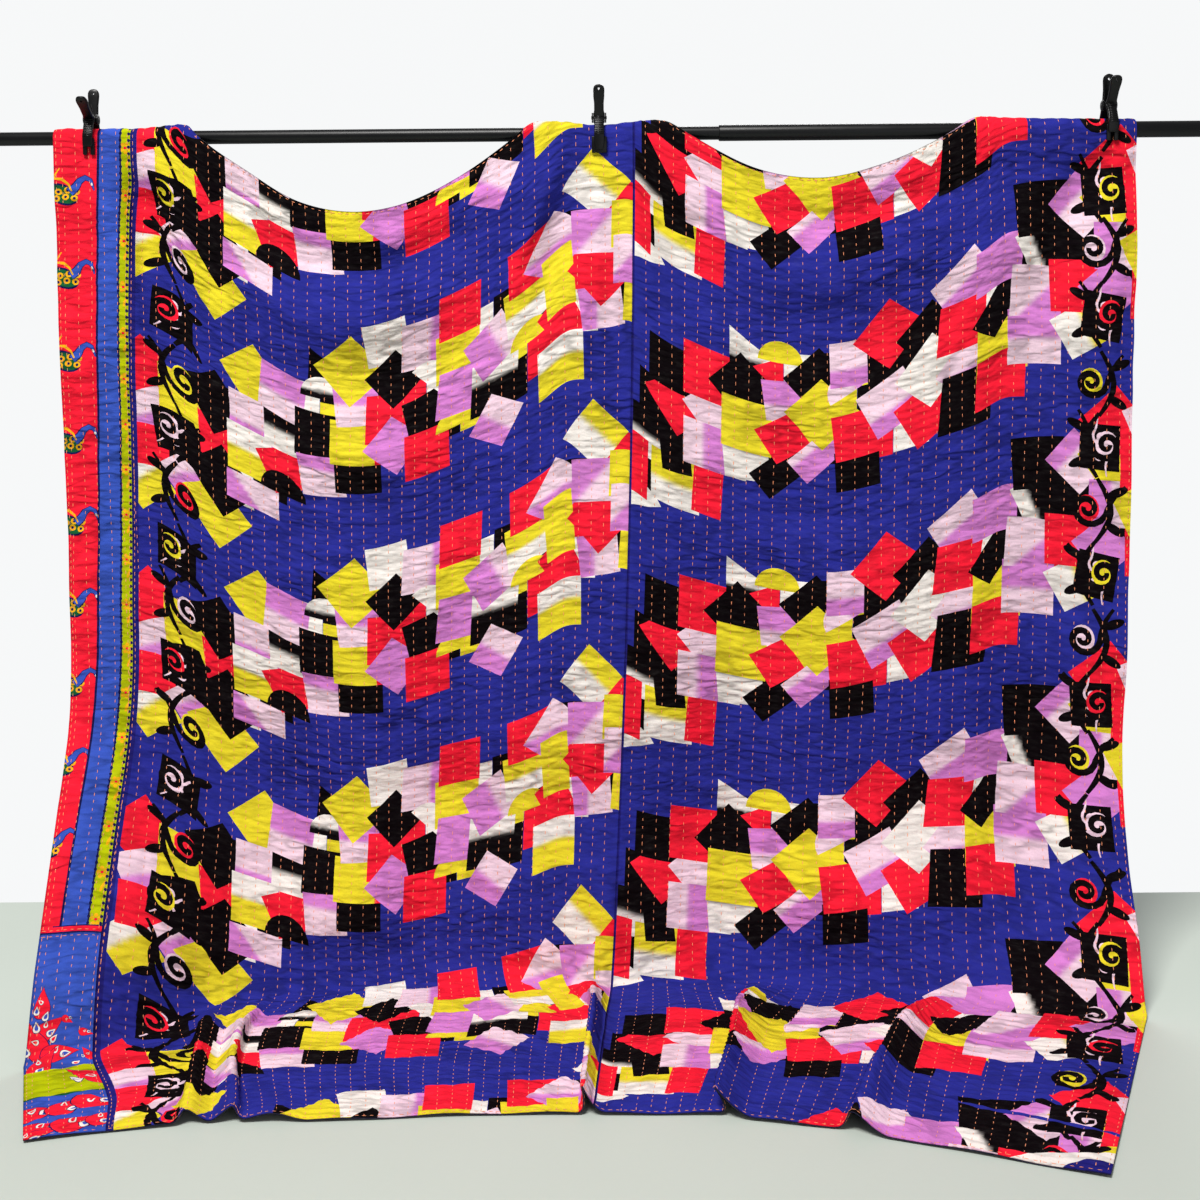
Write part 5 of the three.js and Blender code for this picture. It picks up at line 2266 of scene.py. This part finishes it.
@dataclass
class Rod:
    """Two tubes that slide into each other, the thicker one at the right.

    Attributes:
        drape: The hung cloth, which knows the tubes' radii and axis.
        end: Distance from the middle to each end.
        mouth: Where the thicker tube begins.
        overlap: How far the thinner tube reaches into it.
        clearance: Room between the tubes.
        end_wall: Thickness of the thicker tube's closed end.
        lip: Length of the rounding at its mouth.
        ease: Rounding of the ends.
        plug_rim: Width of the wall round an end's plug.
        plug_groove: Depth of the groove round it.
    """

    drape: Drape
    end: float = 1230.0
    mouth: float = 228.0
    overlap: float = 180.0
    clearance: float = 0.5
    end_wall: float = 12.0
    lip: float = 1.2
    ease: float = 1.0
    plug_rim: float = 2.2
    plug_groove: float = 0.7

    def end_cap(self, side: float, radius: float) -> list[tuple[float, float]]:
        """Profile of a closed tube end with its plug, from the axis outwards.

        Args:
            side: 1 at the right end, -1 at the left.
            radius: The tube's radius.

        Returns:
            Places along the rod and radii.
        """
        at, plug = side * self.end, radius - self.plug_rim
        sunk = at - side * self.plug_groove
        return [
            (at, 0.01), (at, plug - 0.4), (at - side * 0.2, plug), (sunk, plug + 0.1), (sunk, plug + 0.5),
            (at, plug + 0.8), (at, radius - self.ease),
            (at - side * self.ease * 0.3, radius - self.ease * 0.3), (at - side * self.ease, radius),
        ]

    def build(self, paint: bpy.types.Material) -> None:
        """Make both tubes.

        Args:
            paint: Their material.
        """
        drape = self.drape
        at = (0.0, drape.axis_y, drape.axis_z)
        inner, outer = drape.inner_radius, drape.outer_radius
        tail = self.mouth + self.overlap
        tube = Shell()
        tube.turned([*self.end_cap(-1.0, inner), (tail - 1, inner), (tail, inner - 1), (tail, 0.01)], at, 64)
        declare(tube.piece("rod_thin_tube", paint), "rod_black", "rod_inner")
        bore, floor = inner + self.clearance, self.end - self.end_wall
        mouth = [
            (floor, 0.01), (floor, bore), (self.mouth, bore), (self.mouth, outer - self.lip),
            (self.mouth + 0.25, outer - 0.55), (self.mouth + 0.6, outer - 0.2),
            (self.mouth + self.lip, outer),
        ]
        sleeve = Shell()
        sleeve.turned([*mouth, *self.end_cap(1.0, outer)[::-1]], at, 64)
        declare(sleeve.piece("rod_wide_tube", paint), "rod_black", "rod_outer")


class Jaw(Enum):
    """Ends of a clip's jaws."""

    BOX = "box"
    FORK = "fork"


@dataclass
class SpringClip:
    """A spring clip astride the rod: two levers, two pads and a coil on a pin.

    Attributes:
        name: The clip's name.
        x: Its place along the rod.
        lift: How far it sits above its usual place.
        rod: The tube's radius there.
        front_lean: Lean of the front handle in degrees.
        back_lean: Lean of the back handle in degrees.
        jaw: How its jaws end.
        drape: The hung cloth.
        gap: Room between two of its pieces.
        slack: Room between the rod and the cloth.
        front_puff: Swell of the cloth's printed side.
        pivot: Height of its pin above the rod's axis.
        spring_radius: Room that the coil takes.
        pad_size: Width, height and thickness of a pad.
        pad_top: Height of a pad's top.
        pad_ease: Insets of a pad's rounded ends, with the distance from the end.
        bridge: Width and lower end of a forked pad's upper block.
        tine: Place, width, top and lesser thickness of a forked pad's prongs.
        stations: Sections along a lever.
        groove: Depth of the channel in a handle.
        hole: Radius of the hole in a handle.
        hole_below_tip: Its distance from the tip.
        rib_pitch: Distance from one rib to the next.
        rib_span: Heights between which there are ribs.
        rib_size: Thickness, width and length of a rib.
        rib_for: Width of the lever that the length is for.
        rib_share: Share of the stations that lie below the handle's bend.
        cheek_in: Place of the cheeks along the pin, of the front and the back lever.
        cheek: Profile of a cheek, as distance past its inner face and radius.
        coil_turns: Turns of the spring.
        coil_radius: Their radius.
        coil_half: Half of the coil's length.
        wire_radius: Radius of its wire.
        leg_out: Distance of the spring's legs from the pin.
        leg_span: Heights above the pin between which a leg runs.
        pin: Profile of one end of the pin, as place along it and radius.
        lever: Stations up to the pin.
        handle: Stations above it.
    """

    name: str
    x: float
    lift: float
    rod: float
    front_lean: float
    back_lean: float
    jaw: Jaw
    drape: Drape
    gap: float = 0.6
    slack: float = 2.0
    front_puff: float = 1.0
    pivot: float = 30.0
    spring_radius: float = 8.0
    pad_size: tuple[float, float, float] = (28.0, 30.0, 6.0)
    pad_top: float = -7.0
    pad_ease: tuple = ((1.5, 0.0), (0.5, 0.35), (0.0, 1.4))
    bridge: tuple = (22.0, -22.0)
    tine: tuple = (7.0, 7.6, -15.0, 0.6)
    stations: int = 46
    groove: float = 1.3
    hole: float = 2.1
    hole_below_tip: float = 9.0
    rib_pitch: float = 3.3
    rib_span: tuple[float, float] = (-3.0, 33.0)
    rib_size: tuple = (1.5, 2.0, 14.5)
    rib_for: float = 18.0
    rib_share: float = 0.6
    cheek_in: tuple = (11.2, 8.4)
    cheek: tuple = ((0.0, 0.01), (0.0, 8.6), (0.5, 9.6), (1.9, 9.6), (2.4, 8.8), (2.4, 0.01))
    coil_turns: int = 6
    coil_radius: float = 6.0
    coil_half: float = 7.4
    wire_radius: float = 0.85
    leg_out: float = 7.6
    leg_span: tuple = (4.0, 24.0)
    pin: tuple = ((14.6, 0.01), (14.6, 2.2), (14.2, 3.2), (13.7, 3.4), (13.6, 2.3))
    # past the face it follows (0 pad, 1 cloth, 2 shoulder, 3 spring), height, width, thickness
    lever: tuple = (
        (0, 2.0, -31, 14, 4.0), (0, 2.0, -18, 19, 4.0), (0, 2.4, -2, 19, 4.4), (1, 4.5, 9, 18, 6.5),
        (2, 4.0, 21, 18, 7.0), (3, 3.6, 30, 22, 7.0),
    )
    # up the handle, width, thickness
    handle: tuple = (
        (12, 18, 7.0), (30, 18, 7.5), (46, 21, 7.0), (52, 20.6, 6.4), (56, 17.6, 5.8), (58.4, 13, 5.0),
        (59.6, 7, 3.8), (60, 1.6, 1.0),
    )

    def reach(self) -> float:
        """Distance from the rod's axis at which the jaws clear the cloth."""
        cloth = 2 * self.drape.half_thick + self.drape.back_puff + self.front_puff
        return self.rod + self.slack + cloth + self.gap

    def rows(self, lean: float) -> Array:
        """Close stations along a lever: distance along, out, up, width and thickness.

        Args:
            lean: The handle's lean in degrees.

        Returns:
            One row for each station.
        """
        cloth, spring = self.reach(), self.spring_radius + self.gap
        faces = (cloth + self.pad_size[2] + self.gap, cloth, (cloth + spring) / 2, spring)
        low = [(faces[f] + past, up, wide, thick) for f, past, up, wide, thick in self.lever]
        if self.jaw is Jaw.FORK:
            low[0] = (faces[0] + 1.8, -21.0, 15.0, 3.0)
        seat, a = low[-1], math.radians(lean)
        top = [(seat[0] + d * math.sin(a), seat[1] + d * math.cos(a), w, k) for d, w, k in self.handle]
        table = np.array(low + top)
        along = np.append(0, np.cumsum(np.hypot(*np.diff(table[:, :2], axis=0).T)))
        table = np.column_stack([along, table])
        rise = np.linspace(0, 1, self.stations)
        at = along[-1] * (1 - (1 - rise) ** 1.25)
        columns = [read_table(table, k, at) for k in range(1, 5)]
        columns[2] = np.interp(at, along, table[:, 3])
        columns[3] = np.interp(at, along, table[:, 4])
        return np.column_stack([at, *columns])

    @staticmethod
    def lines(rows: Array) -> tuple[Array, Array]:
        """Direction along a lever, and its outward side, at each station.

        Args:
            rows: The stations.

        Returns:
            Both directions as out and up.
        """
        along = np.gradient(rows[:, 1:3], rows[:, 0], axis=0)
        along /= np.linalg.norm(along, axis=1, keepdims=True)
        return along, np.stack([along[:, 1], -along[:, 0]], 1)

    def place(self, local: Array, side: float) -> Array:
        """Clip points in the part's frame.

        Args:
            local: Points as x, out and up.
            side: 1 in front, -1 behind.

        Returns:
            Points as x, y and z.
        """
        x, out, up = np.moveaxis(np.asarray(local, float), -1, 0)
        y, z = self.drape.axis_y - side * out, self.drape.axis_z + self.lift + up
        return np.stack([self.x + side * x, y, z], -1)

    def lever_sections(self, rows: Array) -> Array:
        """Sections of a lever with a channel down the outer face of its handle.

        Args:
            rows: The stations.

        Returns:
            The points round each section.
        """
        _, aside = self.lines(rows)
        sections = []
        for (at, out, up, wide, thick), way in zip(rows, aside):
            section = eased_box(wide, thick, min(wide, thick) * 0.36)
            x, off = section.T
            handle = smooth(np.array(up), self.pivot + 9, self.pivot + 20)
            tip = 1 - smooth(np.array(at), rows[-1, 0] - 9, rows[-1, 0] - 3)
            hollow = (1 - smooth(np.abs(x) / wide, 0.24, 0.34)) * np.sign(off)
            off = np.where(off > 0, off - self.groove * handle * tip * hollow, off)
            sections.append(np.column_stack([x, out + off * way[0], up + off * way[1]]))
        return np.array(sections)

    def drill(self, piece: bpy.types.Object, rows: Array, side: float) -> None:
        """Cut the round hole near a handle's tip.

        Args:
            piece: The lever.
            rows: Its stations.
            side: 1 in front, -1 behind.
        """
        k = int(np.argmin(np.abs(rows[:, 0] - rows[-1, 0] + self.hole_below_tip)))
        along, aside = (way[k] for way in self.lines(rows))
        a = 2 * math.pi * np.arange(20) / 20
        rings = []
        for depth in (-9.0, 9.0):
            middle = rows[k, 1:3] + depth * aside
            rings.append(np.column_stack([np.cos(a), np.outer(np.sin(a), along)]) * self.hole + (0, *middle))
        cutter = Shell()
        cutter.swept(self.place(np.array(rings), side))
        tool = linked("hole", cutter.mesh("hole"))
        cut = piece.modifiers.new("hole", "BOOLEAN")
        cut.operation, cut.solver, cut.object = "DIFFERENCE", "EXACT", tool
        settle(piece)
        bpy.data.objects.remove(tool)
        piece.data.set_sharp_from_angle(angle=SHARP)

    def make_lever(
        self, word: str, lean: float, side: float, finish: bpy.types.Material, ribs: Repeat,
    ) -> None:
        """Make one lever with its cheeks and ribs.

        Args:
            word: Which lever it is.
            lean: Its handle's lean in degrees.
            side: 1 in front, -1 behind.
            finish: Its material.
            ribs: The tree that repeats its ribs.
        """
        rows = self.rows(lean)
        body = Shell()
        body.swept(self.place(self.lever_sections(rows), side))
        grip = body.piece(f"{self.name}_{word}_grip", finish)
        self.drill(grip, rows, side)
        declare(grip, "clip_black", f"{self.name}_{word}_lever")
        first = self.cheek_in[0] if side > 0 else self.cheek_in[1]
        middle = self.place(np.array([0.0, 0.0, self.pivot]), side)
        cheeks = Shell()
        for way in (-1.0, 1.0):
            cheeks.turned([(way * (first + past), radius) for past, radius in self.cheek], middle, 36)
        declare(cheeks.piece(f"{self.name}_{word}_cheeks", finish), "clip_black", f"{self.name}_{word}_lever")
        lower = rows[: int(self.stations * self.rib_share)]
        at = np.interp(np.arange(*self.rib_span, self.rib_pitch), lower[:, 2], lower[:, 0])
        out, up, wide, thick = (np.interp(at, rows[:, 0], rows[:, k]) for k in (1, 2, 3, 4))
        aside = np.column_stack([np.interp(at, rows[:, 0], way) for way in self.lines(rows)[1].T])
        local = np.column_stack([0 * at, out + thick / 2 * aside[:, 0], up + thick / 2 * aside[:, 1]])
        facing = np.column_stack([0 * at, -side * aside[:, 0], aside[:, 1]])
        scale = np.column_stack([np.ones_like(at), np.ones_like(at), wide / self.rib_for])
        along = np.tile((1.0, 0.0, 0.0), (len(at), 1))
        size = [measure * MM for measure in self.rib_size]
        places = self.place(local, side) * MM
        row = ribs.lay(f"{self.name}_{word}_ribs", places, along, facing, scale, size, finish)
        declare(row, "clip_black")

    def make_pad(self, word: str, side: float, finish: bpy.types.Material) -> None:
        """Make one pad.

        Args:
            word: Which pad it is.
            side: 1 in front, -1 behind.
            finish: Its material.
        """
        wide, high, thick = self.pad_size
        out, bottom = self.reach() + thick / 2, self.pad_top - high
        blocks = [(0.0, wide, bottom, self.pad_top, thick)]
        if self.jaw is Jaw.FORK:
            (bridge, under), (apart, tine, top, less) = self.bridge, self.tine
            blocks = [(0.0, bridge, under, self.pad_top, thick)]
            blocks += [(way * apart, tine, bottom, top, thick - less) for way in (-1.0, 1.0)]
        pad = Shell()
        for x, w, low, top, deep in blocks:
            levels = [(inset, low + rise) for inset, rise in self.pad_ease]
            levels += [(inset, top - rise) for inset, rise in self.pad_ease[::-1]]
            sections = []
            for inset, up in levels:
                across, off = eased_box(w - 2 * inset, deep - 1.4 * inset, 1.1).T
                sections.append(np.column_stack([x + across, out + off, np.full(len(off), up)]))
            pad.swept(self.place(np.array(sections), side))
        declare(pad.piece(f"{self.name}_{word}_cushion", finish), "pad_black", f"{self.name}_{word}_pad")

    def make_spring(self, finish: bpy.types.Material, wire: WireRun) -> None:
        """Make the coil, its two legs and the pin through it.

        Args:
            finish: Their material.
            wire: The tree that draws the coil.
        """
        a = np.linspace(0, 2 * math.pi * self.coil_turns, 16 * self.coil_turns + 1)
        x = np.linspace(-self.coil_half, self.coil_half, len(a))
        coil = np.column_stack([x, self.coil_radius * np.cos(a), self.pivot + self.coil_radius * np.sin(a)])
        legs = []
        for lean, way, end in ((self.front_lean, 1.0, coil[-1]), (self.back_lean, -1.0, coil[0])):
            up = np.linspace(*self.leg_span, 6)
            out = way * (self.leg_out + (up - self.leg_span[0]) * math.sin(math.radians(lean)))
            legs.append(np.column_stack([np.full(len(up), end[0]), out, self.pivot + up]))
        path = self.place(np.vstack([legs[1][::-1], coil, legs[0]]), 1.0) * MM
        run = wire.lay(f"{self.name}_coil", path, self.wire_radius * MM, finish)
        declare(run, "spring_black", f"{self.name}_spring")
        pin = Shell()
        middle = self.place(np.array([0.0, 0.0, self.pivot]), 1.0)
        pin.turned([(-x, r) for x, r in self.pin] + list(self.pin[::-1]), middle, 28)
        declare(pin.piece(f"{self.name}_pin", finish), "spring_black", f"{self.name}_spring")

    def build(self, plastic: bpy.types.Material, rubber: bpy.types.Material, steel: bpy.types.Material,
              ribs: Repeat, wire: WireRun) -> None:
        """Make the whole clip.

        Args:
            plastic: Finish of the levers.
            rubber: Finish of the pads.
            steel: Finish of the coil and pin.
            ribs: The tree that repeats ribs.
            wire: The tree that draws wire along a path.
        """
        for word, lean, side in (("front", self.front_lean, 1.0), ("back", self.back_lean, -1.0)):
            self.make_lever(word, lean, side, plastic, ribs)
            self.make_pad(word, side, rubber)
        self.make_spring(steel, wire)


@dataclass
class Hardware:
    """The rod and the three clips that hold the quilt."""

    drape: Drape

    def build(self) -> None:
        """Make the rod and the clips with their finishes."""
        paint = DarkFinish("rod_paint", (0.0032, 0.0034, 0.004), 0.26, 0.20, 0.0011, 0.00003).material()
        plastic = DarkFinish("clip_plastic", (0.0022, 0.0023, 0.0025), 0.20, 0.24, 0.0009, 0.00005).material()
        rubber = DarkFinish("pad_rubber", (0.003, 0.003, 0.0032), 0.22, 0.20, 0.0013, 0.00004).material()
        steel = DarkFinish("spring_steel", (0.05, 0.05, 0.052), 0.28, 0.20, 0.0008, 0.00003, 0.8).material()
        Rod(self.drape).build(paint)
        ribs, wire = Repeat(Bead.BAR), WireRun()
        inner, outer = self.drape.inner_radius, self.drape.outer_radius
        for clip in (
            SpringClip("clip_1", -945.0, 4.0, inner, 56.0, 7.0, Jaw.FORK, self.drape),
            SpringClip("clip_2", 4.0, 0.0, inner, 18.0, 16.0, Jaw.BOX, self.drape),
            SpringClip("clip_3", 957.0, 14.0, outer, 36.0, -10.0, Jaw.FORK, self.drape),
        ):
            clip.build(plastic, rubber, steel, ribs, wire)


# Camera, lights and floor


@dataclass
class Studio:
    """A pale floor, soft light and the camera at the photograph's angle.

    Attributes:
        drape: The hung cloth.
        distance: From the camera to the rod.
        height: The camera's height.
        pitch: Its tilt downwards in degrees.
        roll: Its turn about its own line of sight in degrees.
        lens: Its focal length in millimetres.
        shift: Its shift down the picture.
        floor_back: From the rod to the floor's back edge.
        floor_half: Half of the floor's width.
        floor_front: The floor's depth.
        glow: Strength of the surroundings as a light.
        lamps: Name, place, aim, size, watts and colour of each light.
    """

    drape: Drape
    distance: float = 3.0
    height: float = 1.225
    pitch: float = 5.0
    roll: float = 0.5
    lens: float = 47.37
    shift: float = -0.1016
    floor_back: float = 0.39
    floor_half: float = 4.2
    floor_front: float = 4.6
    glow: float = 0.26
    lamps: tuple = (
        ("key_light", (-1.6, -3.0, 6.6), (0.0, 0.3, 0.8), 2.0, 540.0, (1.0, 0.985, 0.96)),
        ("fill_light", (1.6, -4.6, 1.6), (0.0, 0.3, 0.8), 3.0, 22.0, (0.96, 0.98, 1.0)),
        ("back_light", (0.8, 4.6, 4.2), (0.0, 0.4, 0.8), 2.4, 110.0, (1.0, 1.0, 1.0)),
    )

    def camera(self) -> None:
        """Place the camera."""
        data = bpy.data.cameras.new("camera")
        data.lens, data.sensor_width, data.shift_y = self.lens, 36.0, self.shift
        data.clip_end = 60.0
        eye = linked("camera", data)
        eye.rotation_mode = "XYZ"
        eye.location = (0.0, self.drape.axis_y * MM - self.distance, self.height)
        tilt = Vector((0, math.cos(math.radians(self.pitch)), -math.sin(math.radians(self.pitch))))
        eye.rotation_euler = tilt.to_track_quat("-Z", "Y").to_matrix().to_euler()
        eye.rotation_euler.rotate_axis("Z", math.radians(-self.roll))
        bpy.context.scene.camera = eye

    def light(self) -> None:
        """Add the soft square lights."""
        for name, at, aim, size, watts, colour in self.lamps:
            data = bpy.data.lights.new(name, "AREA")
            data.size, data.energy, data.color = size, watts, colour
            lamp = linked(name, data)
            lamp.location = at
            lamp.rotation_euler = (Vector(aim) - Vector(at)).to_track_quat("-Z", "Y").to_euler()

    def sky(self) -> None:
        """Pale surroundings, dimmer as a light than as a background."""
        world = bpy.data.worlds.new("surroundings")
        world.use_nodes = True
        tree = world.node_tree
        glow = tree.nodes["Background"]
        glow.inputs["Color"].default_value = (0.97, 0.98, 1.0, 1.0)
        glow.inputs["Strength"].default_value = self.glow
        shown = tree.nodes.new("ShaderNodeBackground")
        shown.inputs["Color"].default_value = (0.93, 0.94, 0.945, 1.0)
        rays = tree.nodes.new("ShaderNodeLightPath")
        mix = tree.nodes.new("ShaderNodeMixShader")
        tree.links.new(rays.outputs["Is Camera Ray"], mix.inputs[0])
        tree.links.new(glow.outputs[0], mix.inputs[1])
        tree.links.new(shown.outputs[0], mix.inputs[2])
        tree.links.new(mix.outputs[0], tree.nodes["World Output"].inputs["Surface"])
        bpy.context.scene.world = world

    def floor(self) -> None:
        """Lay the floor."""
        back = self.drape.axis_y * MM + self.floor_back
        mesh = bpy.data.meshes.new("floor")
        x, y = self.floor_half, back - self.floor_front
        mesh.from_pydata([(-x, y, 0), (x, y, 0), (x, back, 0), (-x, back, 0)], [], [(0, 1, 2, 3)])
        mesh.materials.append(FloorPaint().material())
        linked("floor", mesh)

    def build(self) -> None:
        """Set the whole stage."""
        self.camera()
        self.sky()
        self.light()
        self.floor()
        bpy.context.scene.view_settings.view_transform = "Standard"


def main() -> None:
    """Build the quilt and its stage."""
    logging.basicConfig(level=logging.INFO, format="%(name)s: %(message)s")
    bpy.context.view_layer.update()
    drape = Drape()
    Studio(drape).build()
    Hardware(drape).build()
    Quilt(drape).build()


if __name__ == "__main__":
    main()
